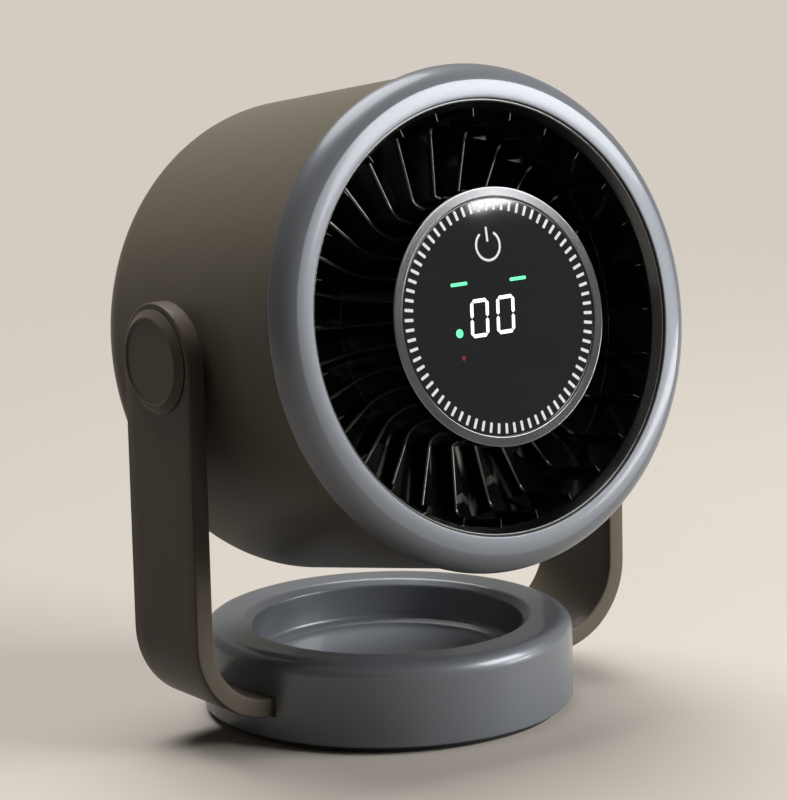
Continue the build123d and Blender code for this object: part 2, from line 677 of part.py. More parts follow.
def control_board():
    """Round board behind the battery with its larger components."""
    board = disc(CONTROL_BOARD_RADIUS, CONTROL_BOARD_BACK, CONTROL_BOARD_FRONT)
    for x, y in ((-12, 8), (14, -6)):
        board += Pos(x, y, 0) * slab(8, 8, CONTROL_BOARD_FRONT, CONTROL_BOARD_FRONT + 0.7)
    return board


# ---- Head: motor ----


def motor_mount():
    """Flanged tube behind the bulkhead that carries the stator and the bearings."""
    mount = disc(MOUNT_FLANGE_RADIUS, BULKHEAD_BACK - 2, BULKHEAD_BACK)
    mount += disc(MOUNT_TUBE_RADIUS, -1, BULKHEAD_BACK)
    return mount - disc(BEARING_RADIUS, -2, BULKHEAD_BACK + 1)


def motor_stator():
    """Laminated core with nine T-shaped teeth."""
    bore = MOUNT_TUBE_RADIUS
    core = tube(bore + 3.5, bore, STATOR_BACK, STATOR_FRONT)
    tooth = Pos((bore + STATOR_RADIUS) / 2 + 1, 0, 0) * slab(STATOR_RADIUS - bore - 3, 3.2, STATOR_BACK, STATOR_FRONT)
    shoe_ring = tube(STATOR_RADIUS, STATOR_RADIUS - 1.8, STATOR_BACK, STATOR_FRONT)
    shoe = shoe_ring & Pos(STATOR_RADIUS, 0, 0) * slab(8, 11, STATOR_BACK, STATOR_FRONT)
    return core + around(tooth, STATOR_TEETH) + around(shoe, STATOR_TEETH)


def motor_coils():
    """Nine windings, one round each tooth."""
    outer = slab(6, 6.4, STATOR_BACK - 1.5, STATOR_FRONT + 1.5)
    coil = outer - slab(7, 3.3, STATOR_BACK - 0.05, STATOR_FRONT + 0.05)
    return around(Pos(15.3, 0, 0) * coil, STATOR_TEETH)


def motor_bearings():
    """Two ball bearings, drawn as plain rings."""
    rear = tube(BEARING_RADIUS, SHAFT_RADIUS + PIN_FIT, 0, BEARING_WIDTH)
    front = tube(BEARING_RADIUS, SHAFT_RADIUS + PIN_FIT, SHAFT_FRONT - 1 - BEARING_WIDTH, SHAFT_FRONT - 1)
    return [rear, front]


# ---- Rotor ----


def rotor_shaft():
    """Plain steel shaft."""
    return lathe([
        (0, SHAFT_BACK, 0),
        (SHAFT_RADIUS, SHAFT_BACK, 0),
        (SHAFT_RADIUS, SHAFT_FRONT, 0),
        (0, SHAFT_FRONT, 0),
    ])


def rotor_can():
    """Steel cup that carries the magnets round the stator."""
    return lathe([
        (SHAFT_RADIUS, CAN_BACK, 0),
        (CAN_RADIUS - 1, CAN_BACK, 0),
        (CAN_RADIUS, CAN_BACK + 1, 0),
        (CAN_RADIUS, CAN_FRONT, 0),
        (MAGNET_OUTER, CAN_FRONT, 0),
        (MAGNET_OUTER, CAN_BACK + CAN_FLOOR, 0),
        (SHAFT_RADIUS, CAN_BACK + CAN_FLOOR, 0),
    ])


def rotor_magnets():
    """Magnet ring inside the can."""
    return tube(MAGNET_OUTER, MAGNET_INNER, STATOR_BACK, STATOR_FRONT)


def blade_section(distance, chord, stagger, camber, thickness, lead):
    """Curved blade section at a distance from the axis, as a face across the blade."""
    along = (cos(radians(stagger)), sin(radians(stagger)))
    across = (-along[1], along[0])

    def point(part, lift):
        return (lead + chord * part * along[0] + lift * across[0], chord * part * along[1] + lift * across[1])

    upper = ThreePointArc(point(-0.5, thickness / 2), point(0, camber + thickness / 2), point(0.5, thickness / 2))
    lower = ThreePointArc(point(-0.5, -thickness / 2), point(0, camber - thickness / 2), point(0.5, -thickness / 2))
    outline = [upper, lower, Line(upper @ 0, lower @ 0), Line(upper @ 1, lower @ 1)]
    plane = Plane(origin=(distance, 0, BLADE_DEPTH), x_dir=(0, 1, 0), z_dir=(1, 0, 0))
    return plane * make_face(outline)


def impeller():
    """Impeller: a cup with a centre boss, and nine wide twisted blades."""
    wall, boss_radius = 2.2, 6.0
    cup = lathe([
        (SHAFT_RADIUS, IMPELLER_BACK, 0),
        (IMPELLER_HUB_RADIUS - 9, IMPELLER_BACK, 0),
        (IMPELLER_HUB_RADIUS - 2.5, IMPELLER_BACK + 2.5, 0),
        (IMPELLER_HUB_RADIUS, IMPELLER_BACK + 9, 0),
        (IMPELLER_HUB_RADIUS, IMPELLER_FRONT, 0),
        (IMPELLER_HUB_RADIUS - wall, IMPELLER_FRONT, 0),
        (IMPELLER_HUB_RADIUS - wall, IMPELLER_BACK + 9, 0),
        (IMPELLER_HUB_RADIUS - 9, IMPELLER_BACK + wall, 0),
        (boss_radius, IMPELLER_BACK + wall, 0),
        (boss_radius, CAN_BACK, 0),
        (SHAFT_RADIUS, CAN_BACK, 0),
    ])
    root = blade_section(IMPELLER_HUB_RADIUS - 1.5, 32, 44, 4.0, 2.2, 0)
    tip = blade_section(IMPELLER_TIP_RADIUS + 2, 46, 27, 4.0, 1.6, 8)
    blade = loft([root, tip], ruled=True)
    trim = disc(IMPELLER_TIP_RADIUS, IMPELLER_BACK - 9, IMPELLER_FRONT + 9)
    trim -= disc(IMPELLER_HUB_RADIUS - 1, IMPELLER_BACK - 9, IMPELLER_FRONT + 9)
    return cup + around(blade & trim, BLADE_COUNT, BLADE_PHASE)


def impeller_nut():
    """Hexagonal nut that holds the impeller on its shaft."""
    nut = extrude(RegularPolygon(4.6, 6), amount=3)
    return Pos(0, 0, IMPELLER_BACK - 3) * nut - disc(SHAFT_RADIUS, IMPELLER_BACK - 4, IMPELLER_BACK + 1)


# ---- Rear grille, pod and button ----


def rear_grille():
    """Intake grille: rim with an inner flange, slats that lean off the centre, and the pod's cup."""
    rim = tube(GRILLE_RADIUS, GRILLE_RADIUS - GRILLE_RIM, BARREL_BACK, GRILLE_FLANGE_FRONT)
    flange = tube(GRILLE_FLANGE_RADIUS, GRILLE_RADIUS - GRILLE_RIM, GRILLE_FLANGE_BACK, GRILLE_FLANGE_FRONT)
    hole = disc(SCREW_RADIUS + 0.2, GRILLE_FLANGE_BACK, GRILLE_FLANGE_FRONT)
    flange -= spread(hole, GRILLE_SCREW_ANGLES, GRILLE_SCREW_PLACE)
    pod = lathe([
        (0, POD_FRONT, 0),
        (POD_RADIUS - 1.5, POD_FRONT, 0),
        (POD_RADIUS, POD_FRONT - 1.5, 0),
        (POD_RADIUS, BARREL_BACK, 0),
        (POD_RADIUS - 2, BARREL_BACK, 0),
        (POD_RADIUS - 2, REAR_BOARD_FRONT, 0),
        (POD_RADIUS - 4, REAR_BOARD_FRONT, 0),
        (POD_RADIUS - 4, POD_FRONT - 1.5, 0),
        (0, POD_FRONT - 1.5, 0),
    ])
    offset = 10.0
    start, end = (POD_RADIUS ** 2 - offset ** 2) ** 0.5 - 0.6, GRILLE_RADIUS - 2.2
    slat = Pos((start + end) / 2, offset, 0) * slab(end - start, SLAT_WIDTH, BARREL_BACK, BARREL_BACK + SLAT_DEPTH)
    return rim + flange + pod + around(slat, SLAT_COUNT)


def grille_screws():
    """Three screws through the grille's flange into the barrel's bosses."""
    one = screw(GRILLE_FLANGE_FRONT, GRILLE_FLANGE_FRONT + SCREW_HEAD_HEIGHT, GRILLE_FLANGE_BACK - 3)
    return spread(one, GRILLE_SCREW_ANGLES, GRILLE_SCREW_PLACE)


def socket_outline(width, height):
    """Rounded outline of the charging socket."""
    return RectangleRounded(width, height, height / 2 - 0.02)


def rear_cap():
    """Round cap on the pod with the button's hole and the charging socket's slot."""
    cap = lathe([
        (0, REAR_CAP_BACK, 0),
        (POD_RADIUS - 1.2, REAR_CAP_BACK, 0),
        (POD_RADIUS, REAR_CAP_BACK + 1.2, 0),
        (POD_RADIUS, BARREL_BACK, 0),
        (POD_RADIUS - 2.05, BARREL_BACK, 0),
        (POD_RADIUS - 2.05, BARREL_BACK + 2, 0),
        (POD_RADIUS - 3.6, BARREL_BACK + 2, 0),
        (POD_RADIUS - 3.6, BARREL_BACK, 0),
        (0, BARREL_BACK, 0),
    ])
    cap -= Pos(0, BUTTON_PLACE, 0) * disc(BUTTON_RADIUS + BUTTON_GAP, REAR_CAP_BACK - 1, BARREL_BACK + 1)
    slot = extrude(socket_outline(SOCKET_WIDTH + 0.5, SOCKET_HEIGHT + 0.5), amount=8, both=True)
    return cap - Pos(0, SOCKET_PLACE, REAR_CAP_BACK) * slot


def rear_board():
    """Board in the pod that carries the button's switch and the charging socket."""
    return disc(POD_RADIUS - 2.1, REAR_BOARD_BACK, REAR_BOARD_FRONT)


def button_switch():
    """Small push switch behind the power button."""
    body = slab(6, 6, REAR_BOARD_BACK - 1.2, REAR_BOARD_BACK)
    return Pos(0, BUTTON_PLACE, 0) * (body + disc(1.6, REAR_BOARD_BACK - 1.7, REAR_BOARD_BACK - 1.2))


def charging_socket():
    """Upright charging socket: a thin oval shell with a tongue."""
    length = REAR_BOARD_BACK - REAR_CAP_BACK - 0.4
    shell = extrude(socket_outline(SOCKET_WIDTH, SOCKET_HEIGHT), amount=length)
    well = extrude(socket_outline(SOCKET_WIDTH - 0.6, SOCKET_HEIGHT - 0.6), amount=length - 1.5)
    tongue = slab(6.6, 0.7, 0.8, length - 1)
    return Pos(0, SOCKET_PLACE, REAR_CAP_BACK + 0.4) * (shell - well + tongue)


def power_button():
    """Round push button with a dished face, a retaining flange and a stem."""
    button = lathe([
        (0, BUTTON_BACK + 0.3, 0),
        (BUTTON_RADIUS - 1.4, BUTTON_BACK, 0),
        (BUTTON_RADIUS, BUTTON_BACK, 0),
        (BUTTON_RADIUS, BARREL_BACK + 0.2, 0),
        (BUTTON_RADIUS + 1.3, BARREL_BACK + 0.2, 0),
        (BUTTON_RADIUS + 1.3, BARREL_BACK + 1.0, 0),
        (2, BARREL_BACK + 1.0, 0),
        (2, REAR_BOARD_BACK - 2.7, 0),
        (0, REAR_BOARD_BACK - 2.7, 0),
    ])
    return Pos(0, BUTTON_PLACE, 0) * button


# ---- Writing the nodes ----


def write(name, shape, place=None):
    """Write one node, a solid or a list of separate solids, to its STEP file."""
    solids = shape if isinstance(shape, list) else [shape]
    if place is not None:
        solids = [place * solid for solid in solids]
    node = solids[0] if len(solids) == 1 else Compound(children=solids)
    export_step(node, f"parts/{name}.step")


def write_base():
    """Write the nodes that stand still."""
    write("base_shell", base_shell())
    write("base_plate", base_plate())
    write("base_foot_pad", base_foot_pad())
    write("base_ballast", base_ballast())
    write("base_plate_screws", base_plate_screws())
    write("yoke", yoke())
    write("yoke_screws", yoke_screw_spaces())
    for side, turn in SIDES.items():
        place = Pos(0, 0, PIVOT_HEIGHT) * turn
        write(f"pivot_bush_{side}", pivot_bush(), place)
        write(f"friction_washer_{side}", friction_washer(), place)
        write(f"pivot_cap_{side}", pivot_cap(), place)


def write_head():
    """Write the nodes that tilt with the head."""
    for side, turn in SIDES.items():
        write(f"pivot_pin_{side}", pivot_pin(), HEAD * turn)
        write(f"pivot_insert_{side}", pivot_insert(), HEAD * turn)
    makers = [
        barrel, front_bezel, throat_ring, guide_vane_ring, hub_cup, impeller_shroud, duct_screws,
        display_ring, display_glass, tick_light_ring, display_board, digit_segments, status_lights,
        battery_cells, battery_tray, control_board,
        motor_mount, motor_stator, motor_coils, motor_bearings,
        rear_grille, grille_screws, rear_cap, rear_board, button_switch, charging_socket,
    ]
    for maker in makers:
        write(maker.__name__, maker(), HEAD)


def write_moving():
    """Write the spinning rotor's nodes and the power button."""
    for maker in (rotor_shaft, rotor_can, rotor_magnets, impeller, impeller_nut, power_button):
        write(maker.__name__, maker(), HEAD)


os.makedirs("parts", exist_ok=True)
write_base()
write_head()
write_moving()
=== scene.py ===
"""Visible pieces, finishes and studio of a desktop air circulator fan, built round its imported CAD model."""
from math import cos, pi, radians, sin

import bmesh
import bpy
import numpy as np
from bpy.props import FloatProperty, FloatVectorProperty, IntProperty, PointerProperty
from mathutils import Matrix, Vector


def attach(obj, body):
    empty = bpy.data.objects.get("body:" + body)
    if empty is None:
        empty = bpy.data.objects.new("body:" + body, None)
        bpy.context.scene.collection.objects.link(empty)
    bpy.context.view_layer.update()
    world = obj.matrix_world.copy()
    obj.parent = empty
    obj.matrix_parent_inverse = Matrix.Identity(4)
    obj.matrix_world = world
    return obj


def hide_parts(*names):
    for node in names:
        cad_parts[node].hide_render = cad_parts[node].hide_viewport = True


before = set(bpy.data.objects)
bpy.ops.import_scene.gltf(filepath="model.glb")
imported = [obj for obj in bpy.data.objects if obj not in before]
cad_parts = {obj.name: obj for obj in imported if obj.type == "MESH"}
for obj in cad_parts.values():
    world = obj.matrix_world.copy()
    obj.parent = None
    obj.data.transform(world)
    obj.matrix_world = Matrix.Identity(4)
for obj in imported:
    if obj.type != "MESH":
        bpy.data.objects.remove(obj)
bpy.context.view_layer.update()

bl_info = {
    "name": "Air circulator fan",
    "version": (1, 0, 0),
    "blender": (4, 5, 0),
    "location": "View3D > Sidebar > Fan",
    "description": "Builds the pieces, finishes and studio of a desktop air circulator fan",
    "category": "Add Mesh",
}

MM = 0.001
PIVOT_HEIGHT = 129.5
HEAD_TILT = radians(10.73)
# Angle between the vertical and the head's axis.
AXIS_TURN = pi / 2 - HEAD_TILT
# Head coordinates (right, up, forward) to places in the model.
HEAD_TURN = np.array([
    [1.0, 0.0, 0.0],
    [0.0, sin(HEAD_TILT), -cos(HEAD_TILT)],
    [0.0, cos(HEAD_TILT), sin(HEAD_TILT)],
])
SIDES = {"left": -1, "right": 1}
# Points nearer than this, in millimetres, count as one.
SAME_POINT = 1e-6


def linear(red, green, blue):
    """Linear colour of a display colour: ((c + 0.055) / 1.055) ** 2.4, or c / 12.92 where c is dark."""
    display = np.array([red, green, blue]) / 255
    light = np.where(display > 0.04045, ((display + 0.055) / 1.055) ** 2.4, display / 12.92)
    return tuple(float(part) for part in light)


# ---- Settings ----


def length(name, description, default):
    """A length setting in metres."""
    return FloatProperty(name=name, description=description, default=default, min=0.0, unit="LENGTH")


def count(name, description, default):
    """A whole number setting."""
    return IntProperty(name=name, description=description, default=default, min=2, max=400)


def colour(name, description, red, green, blue):
    """A colour setting, given as a display colour."""
    return FloatVectorProperty(
        name=name, description=description, default=linear(red, green, blue),
        subtype="COLOR", min=0.0, max=1.0,
    )


class FanSizes(bpy.types.PropertyGroup):
    """Sizes of the fan's visible pieces."""

    base_radius: length("Base radius", "Radius of the round base", 0.0628)
    base_top: length("Base height", "Height of the base above the table", 0.0304)
    base_round: length("Base edge", "Rounding of the base's top edge", 0.005)
    dish_radius: length("Dish radius", "Radius of the dish in the base", 0.045)
    arm_inner: length("Arm inner face", "Distance from the middle to an arm's inner face", 0.0826)
    arm_thickness: length("Arm thickness", "Thickness of the yoke's strap", 0.0062)
    arm_width: length("Arm width", "Width of the yoke's strap", 0.038)
    arm_edge: length("Arm edge", "Rounding along the strap's edges", 0.0007)
    cap_radius: length("Cap radius", "Radius of the pivot caps", 0.017)
    barrel_radius: length("Barrel radius", "Outer radius of the rear housing", 0.0803)
    bezel_radius: length("Bezel radius", "Outer radius of the front ring", 0.082)
    duct_radius: length("Duct radius", "Inner radius of the air duct", 0.067)
    hub_radius: length("Hub radius", "Radius of the centre hub", 0.0408)
    vane_thickness: length("Vane thickness", "Thickness of a guide vane", 0.0014)
    vane_count: count("Guide vanes", "Number of guide vanes", 28)
    blade_count: count("Blades", "Number of impeller blades", 9)
    slat_count: count("Slats", "Number of slats in the rear grille", 48)
    tick_count: count("Ticks", "Number of ticks round the display", 72)


class FanColours(bpy.types.PropertyGroup):
    """Colours of the fan's finishes."""

    silver: colour("Silver paint", "Paint of the base and the front ring", 122, 126, 132)
    taupe: colour("Warm grey paint", "Paint of the rear housing", 130, 122, 108)
    strap: colour("Yoke coating", "Coating of the yoke and its caps", 112, 103, 91)
    duct: colour("Duct plastic", "Plastic of the duct, vanes and hub", 12, 14, 15)
    impeller: colour("Impeller plastic", "Plastic of the impeller", 150, 152, 153)
    grille: colour("Grille plastic", "Plastic of the rear grille and its cap", 44, 44, 44)
    glass: colour("Display glass", "Smoked glass of the display", 31, 33, 34)
    white_light: colour("White light", "Digits and ticks", 240, 238, 255)
    green_light: colour("Green light", "Status lights", 96, 232, 160)
    floor: colour("Floor", "Floor and background of the studio", 212, 204, 194)


# ---- Surfaces ----


def unit(vectors):
    """Vectors divided by their own lengths."""
    return vectors / np.maximum(np.linalg.norm(vectors, axis=-1, keepdims=True), 1e-12)


def rounded(corners, steps=6, hold=0.2):
    """Outline through corners (x, y) or (x, y, radius). A radius makes the arc that touches both sides:
    with h half the opening angle, it starts radius / tan h along each side, and its centre is
    radius / sin h from the corner on the bisector. One more point a little way along each side
    keeps flat parts flat when the surface is shaded."""
    table = np.array([(*place, 0)[:3] for place in corners], float)
    corner, radius = table[:, :2], table[:, 2]
    before = unit(np.roll(corner, 1, 0) - corner)
    after = unit(np.roll(corner, -1, 0) - corner)
    half = np.maximum(np.arccos(np.clip((before * after).sum(1), -1, 1)) / 2, 1e-4)
    reach = (radius / np.tan(half))[:, None]
    centre = corner + unit(before + after) * (radius / np.sin(half))[:, None]
    first, last = corner + before * reach - centre, corner + after * reach - centre
    arc = (pi - 2 * half)[:, None, None]
    share = np.linspace(0, 1, steps + 1)[None, :, None]
    span = np.maximum(np.sin(arc), 1e-9)
    bend = (np.sin((1 - share) * arc) * first[:, None] + np.sin(share * arc) * last[:, None]) / span
    bend = centre[:, None] + np.where(radius[:, None, None] > 0, bend, 0)
    apart = np.where(radius > 0, hold, 0)[:, None]
    held = [(corner + side * (reach + apart))[:, None] for side in (before, after)]
    points = np.concatenate([held[0], bend, held[1]], axis=1).reshape(-1, 2)
    return points[np.linalg.norm(points - np.roll(points, 1, 0), axis=1) > SAME_POINT]


def arc_points(centre, radius, start, end, steps):
    """Points on a circle's arc: centre + radius (cos t, sin t), with t from start to end in degrees."""
    t = np.radians(np.linspace(start, end, steps))
    return np.stack([centre[0] + radius * np.cos(t), centre[1] + radius * np.sin(t)], -1)


def grid_faces(rows, columns, close_rows, close_columns):
    """Four-sided faces of a grid whose point (i, j) has the number i * columns + j."""
    i = np.arange(rows if close_rows else rows - 1)[:, None]
    j = np.arange(columns if close_columns else columns - 1)[None]
    down, across = (i + 1) % rows, (j + 1) % columns
    return np.stack([
        i * columns + j, down * columns + j, down * columns + across, i * columns + across,
    ], -1).reshape(-1, 4)


def turned(outline, segments=160, angles=None):
    """Surface of revolution: point (r, a) of the outline becomes (r cos t, r sin t, a) for each t.
    A closed outline gives a ring. One that starts and ends on the axis gives a solid, with triangles that
    meet at each pole."""
    angles = np.arange(segments) * 2 * pi / segments if angles is None else angles
    off_axis = outline[:, 0] > SAME_POINT
    ring = outline[off_axis]
    points = np.stack([
        ring[:, :1] * np.cos(angles), ring[:, :1] * np.sin(angles), np.repeat(ring[:, 1:], len(angles), 1),
    ], -1).reshape(-1, 3)
    faces = [grid_faces(len(ring), len(angles), off_axis.all(), True)]
    if not off_axis.all():
        near = np.arange(len(angles))
        following = np.roll(near, -1)
        far = (len(ring) - 1) * len(angles)
        first, last = len(points), len(points) + 1
        faces.append(np.stack([np.full_like(near, first), near, following], -1))
        faces.append(np.stack([np.full_like(near, last), following + far, near + far], -1))
        ends = outline[~off_axis][[0, -1], 1]
        points = np.concatenate([points, [[0, 0, ends[0]], [0, 0, ends[1]]]])
    return points, faces


def prism(outline, low, high):
    """Straight solid over a convex outline from low to high."""
    size = len(outline)
    points = np.concatenate([np.column_stack([outline, np.full(size, level)]) for level in (low, high)])
    lid = np.arange(size)[None]
    return points, [grid_faces(2, size, False, True), lid[:, ::-1], lid + size]


def bar(loops):
    """Closed skin over loops of points, one loop per row, with a flat face on the first and the last."""
    rows, columns = loops.shape[:2]
    lid = np.arange(columns)[None]
    faces = [grid_faces(rows, columns, False, True), lid, (lid + (rows - 1) * columns)[:, ::-1]]
    return loops.reshape(-1, 3), faces


def around(shell, number, phase=0.0):
    """Copies of a shell turned evenly about the axis, as one array per copy."""
    points, faces = shell
    t = radians(phase) + np.arange(number) * 2 * pi / number
    turn = np.zeros((number, 3, 3))
    turn[:, 0, 0], turn[:, 0, 1], turn[:, 1, 0], turn[:, 1, 1] = np.cos(t), -np.sin(t), np.sin(t), np.cos(t)
    turn[:, 2, 2] = 1
    return [(copy, faces) for copy in np.einsum("nij,pj->npi", turn, points)]


def in_mm(*lengths):
    """Lengths in metres, in millimetres."""
    return [value / MM for value in lengths]


def on_head(points):
    """Head coordinates (right, up, forward of the pivot) as places in the model, in millimetres."""
    return points @ HEAD_TURN.T + np.array([0, 0, PIVOT_HEIGHT])


def on_side(points, side):
    """Coordinates about a pivot, with the third one outwards, as places in the model, in millimetres."""
    return np.stack([side * points[:, 2], points[:, 0], PIVOT_HEIGHT + points[:, 1]], -1)


def volume(points, faces):
    """Signed volume of a closed shell: a sixth of the sum of a . (b x c) over its triangles."""
    total = 0.0
    for group in faces:
        corner = points[group]
        for k in range(1, group.shape[1] - 1):
            total += np.einsum("ij,ij->", corner[:, 0], np.cross(corner[:, k], corner[:, k + 1])) / 6
    return total


def moved(shells, place):
    """Shells with their points put in place by a function."""
    return [(place(points), faces) for points, faces in shells]


def model(name, shells, material, sharp=32.0, weld=0.0):
    """One object from closed shells in millimetres, facing outwards. Edges over an angle stay sharp."""
    points, loops, sizes, start = [], [], [], 0
    for shell_points, shell_faces in shells:
        inside_out = volume(shell_points - shell_points.mean(0), shell_faces) < 0
        for group in shell_faces:
            group = group[:, ::-1] if inside_out else group
            loops.append((group + start).ravel())
            sizes.append(np.full(len(group), group.shape[1]))
        points.append(shell_points)
        start += len(shell_points)
    points, loops, sizes = np.concatenate(points) * MM, np.concatenate(loops), np.concatenate(sizes)
    mesh = bpy.data.meshes.new(name)
    mesh.vertices.add(len(points))
    mesh.vertices.foreach_set("co", points.astype(np.float32).ravel())
    mesh.loops.add(len(loops))
    mesh.loops.foreach_set("vertex_index", loops.astype(np.int32))
    mesh.polygons.add(len(sizes))
    starts = np.concatenate([[0], np.cumsum(sizes)[:-1]])
    mesh.polygons.foreach_set("loop_start", starts.astype(np.int32))
    mesh.update(calc_edges=True)
    if mesh.validate():
        print(f"{name}: faces were repaired")
    if weld:
        shape = bmesh.new()
        shape.from_mesh(mesh)
        bmesh.ops.remove_doubles(shape, verts=shape.verts, dist=weld * MM)
        bmesh.ops.recalc_face_normals(shape, faces=shape.faces)
        shape.to_mesh(mesh)
        shape.free()
    mesh.shade_smooth()
    mesh.set_sharp_from_angle(angle=radians(sharp))
    mesh.materials.append(material)
    made = bpy.data.objects.new(name, mesh)
    bpy.context.scene.collection.objects.link(made)
    return made


def piece(name, shells, look, body, node=None, sharp=32.0, weld=0.0):
    """A piece with a finish that rides on a body and stands for a CAD node."""
    made = model(name, shells, finish(look), sharp, weld)
    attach(made, body)
    if node:
        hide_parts(node)


def head_piece(name, shells, look, node=None, body="head", sharp=32.0):
    """A piece from shells in head coordinates."""
    piece(name, moved(shells, on_head), look, body, node, sharp)


# ---- Finishes ----


class Signal:
    """An output socket that can be used in sums, such as 1 - mask or 0.3 + 0.1 * grain."""

    def __init__(self, owner, socket):
        self.owner, self.socket = owner, socket

    def _math(self, operation, first, second):
        return self.owner.node("ShaderNodeMath", {"operation": operation}, {0: first, 1: second})

    def __add__(self, other):
        return self._math("ADD", self, other)

    def __sub__(self, other):
        return self._math("SUBTRACT", self, other)

    def __rsub__(self, other):
        return self._math("SUBTRACT", other, self)

    def __mul__(self, other):
        return self._math("MULTIPLY", self, other)

    def __truediv__(self, other):
        return self._math("DIVIDE", self, other)

    def __rtruediv__(self, other):
        return self._math("DIVIDE", other, self)

    def __gt__(self, other):
        return self._math("GREATER_THAN", self, other)

    def __lt__(self, other):
        return self._math("LESS_THAN", self, other)

    __radd__ = __add__
    __rmul__ = __mul__


class Nodes:
    """The nodes of a material or a world."""

    def __init__(self, tree):
        self.tree = tree
        tree.nodes.clear()

    def node(self, kind, settings, sockets, output=0):
        """A node of a kind: its settings first, then the values or links of its sockets."""
        made = self.tree.nodes.new(kind)
        for name, value in settings.items():
            if name == "stops":
                while len(made.color_ramp.elements) < len(value):
                    made.color_ramp.elements.new(0.5)
                for element, (position, tone) in zip(made.color_ramp.elements, value):
                    element.position, element.color = position, tone
            else:
                setattr(made, name, value)
        for socket, value in sockets.items():
            if isinstance(value, Signal):
                self.tree.links.new(value.socket, made.inputs[socket])
            else:
                made.inputs[socket].default_value = value
        return Signal(self, made.outputs[output])

    def blend(self, share, first, second, way="MIX"):
        """The first colour where share is 0 and the second where it is 1."""
        first, second = ((*tone, 1.0) if isinstance(tone, tuple) else tone for tone in (first, second))
        return self.node(
            "ShaderNodeMix", {"data_type": "RGBA", "blend_type": way}, {0: share, 6: first, 7: second}, 2,
        )

    def seen(self):
        """1 where a surface is seen, also mirrored or through glass, and 0 where it only sends light on."""
        rays = ("Is Camera Ray", "Is Glossy Ray", "Is Transmission Ray")
        return sum(self.node("ShaderNodeLightPath", {}, {}, ray) for ray in rays)


class Finish(Nodes):
    """A material: one Principled shader, constants on its own sockets, and nodes for what varies."""

    def __init__(self, name, **constants):
        self.material = bpy.data.materials.new(f"fan {name}")
        self.material.use_nodes = True
        super().__init__(self.material.node_tree)
        self.shader = self.tree.nodes.new("ShaderNodeBsdfPrincipled")
        output = self.tree.nodes.new("ShaderNodeOutputMaterial")
        self.tree.links.new(self.shader.outputs[0], output.inputs["Surface"])
        for socket, value in constants.items():
            self.shader.inputs[socket.replace("_", " ")].default_value = value

    def place(self, turn=(0.0, 0.0, 0.0), stretch=(1.0, 1.0, 1.0)):
        """Object coordinates, turned and stretched."""
        here = self.node("ShaderNodeTexCoord", {}, {}, "Object")
        return self.node("ShaderNodeMapping", {}, {"Vector": here, "Rotation": turn, "Scale": stretch})

    def noise(self, place, scale, detail=2.0):
        """Soft noise from 0 to 1, with about scale blotches to the metre."""
        return self.node("ShaderNodeTexNoise", {}, {"Vector": place, "Scale": scale, "Detail": detail})

    def feed(self, **signals):
        """Links signals to the shader's sockets."""
        for socket, signal in signals.items():
            self.tree.links.new(signal.socket, self.shader.inputs[socket.replace("_", " ")])

    def relief(self, height, strength, distance):
        """Small relief from a height signal."""
        sockets = {"Height": height, "Strength": strength, "Distance": distance}
        self.feed(Normal=self.node("ShaderNodeBump", {}, sockets, "Normal"))


def shade(tone, factor):
    """A colour made lighter or darker."""
    return tuple(min(1.0, float(part) * factor) for part in tone)


def satin_paint(name, tone, metallic=0.3, roughness=0.36, coat=0.45):
    """Sprayed metallic paint: fine flakes, a faint cloudiness, slight orange peel and a thin clear coat."""
    made = Finish(name, Metallic=metallic, Coat_Roughness=0.1, Coat_IOR=1.4, Specular_IOR_Level=0.15)
    place = made.place()
    cloud, flake, peel = made.noise(place, 22.0, 3.0), made.noise(place, 3200.0), made.noise(place, 620.0)
    made.feed(
        Base_Color=made.blend(0.7 * flake + 0.3 * cloud, shade(tone, 0.88), shade(tone, 1.12)),
        Roughness=roughness - 0.05 + 0.06 * cloud + 0.05 * flake,
        Coat_Weight=coat * (0.7 + 0.3 * cloud),
    )
    made.relief(peel, strength=0.05, distance=0.00005)
    return made.material


def moulded(name, tone, roughness, grain=1400.0, depth=0.12, spread=0.1, coat=0.0):
    """Moulded plastic: a fine texture from the tool, with small changes of tone and gloss."""
    made = Finish(name, Coat_Weight=coat, Coat_Roughness=0.12)
    place = made.place()
    cloud, texture = made.noise(place, 30.0, 3.0), made.noise(place, grain)
    made.feed(
        Base_Color=made.blend(0.5 * cloud + 0.5 * texture, shade(tone, 1 - spread), shade(tone, 1 + spread)),
        Roughness=roughness - 0.06 + 0.07 * cloud + 0.05 * texture,
    )
    made.relief(texture, strength=depth, distance=0.00006)
    return made.material


def worked_metal(name, tone, roughness=0.32, stretch=(1.0, 1.0, 0.03)):
    """Bare metal with fine tool marks, which run along the direction in which the noise is stretched."""
    made = Finish(name, Metallic=1.0)
    cloud, marks = made.noise(made.place(), 45.0, 3.0), made.noise(made.place(stretch=stretch), 2600.0, 3.0)
    made.feed(
        Base_Color=made.blend(0.5 * cloud + 0.5 * marks, shade(tone, 0.85), shade(tone, 1.1)),
        Roughness=roughness - 0.06 + 0.08 * cloud + 0.08 * marks,
    )
    made.relief(marks, strength=0.12, distance=0.00004)
    return made.material


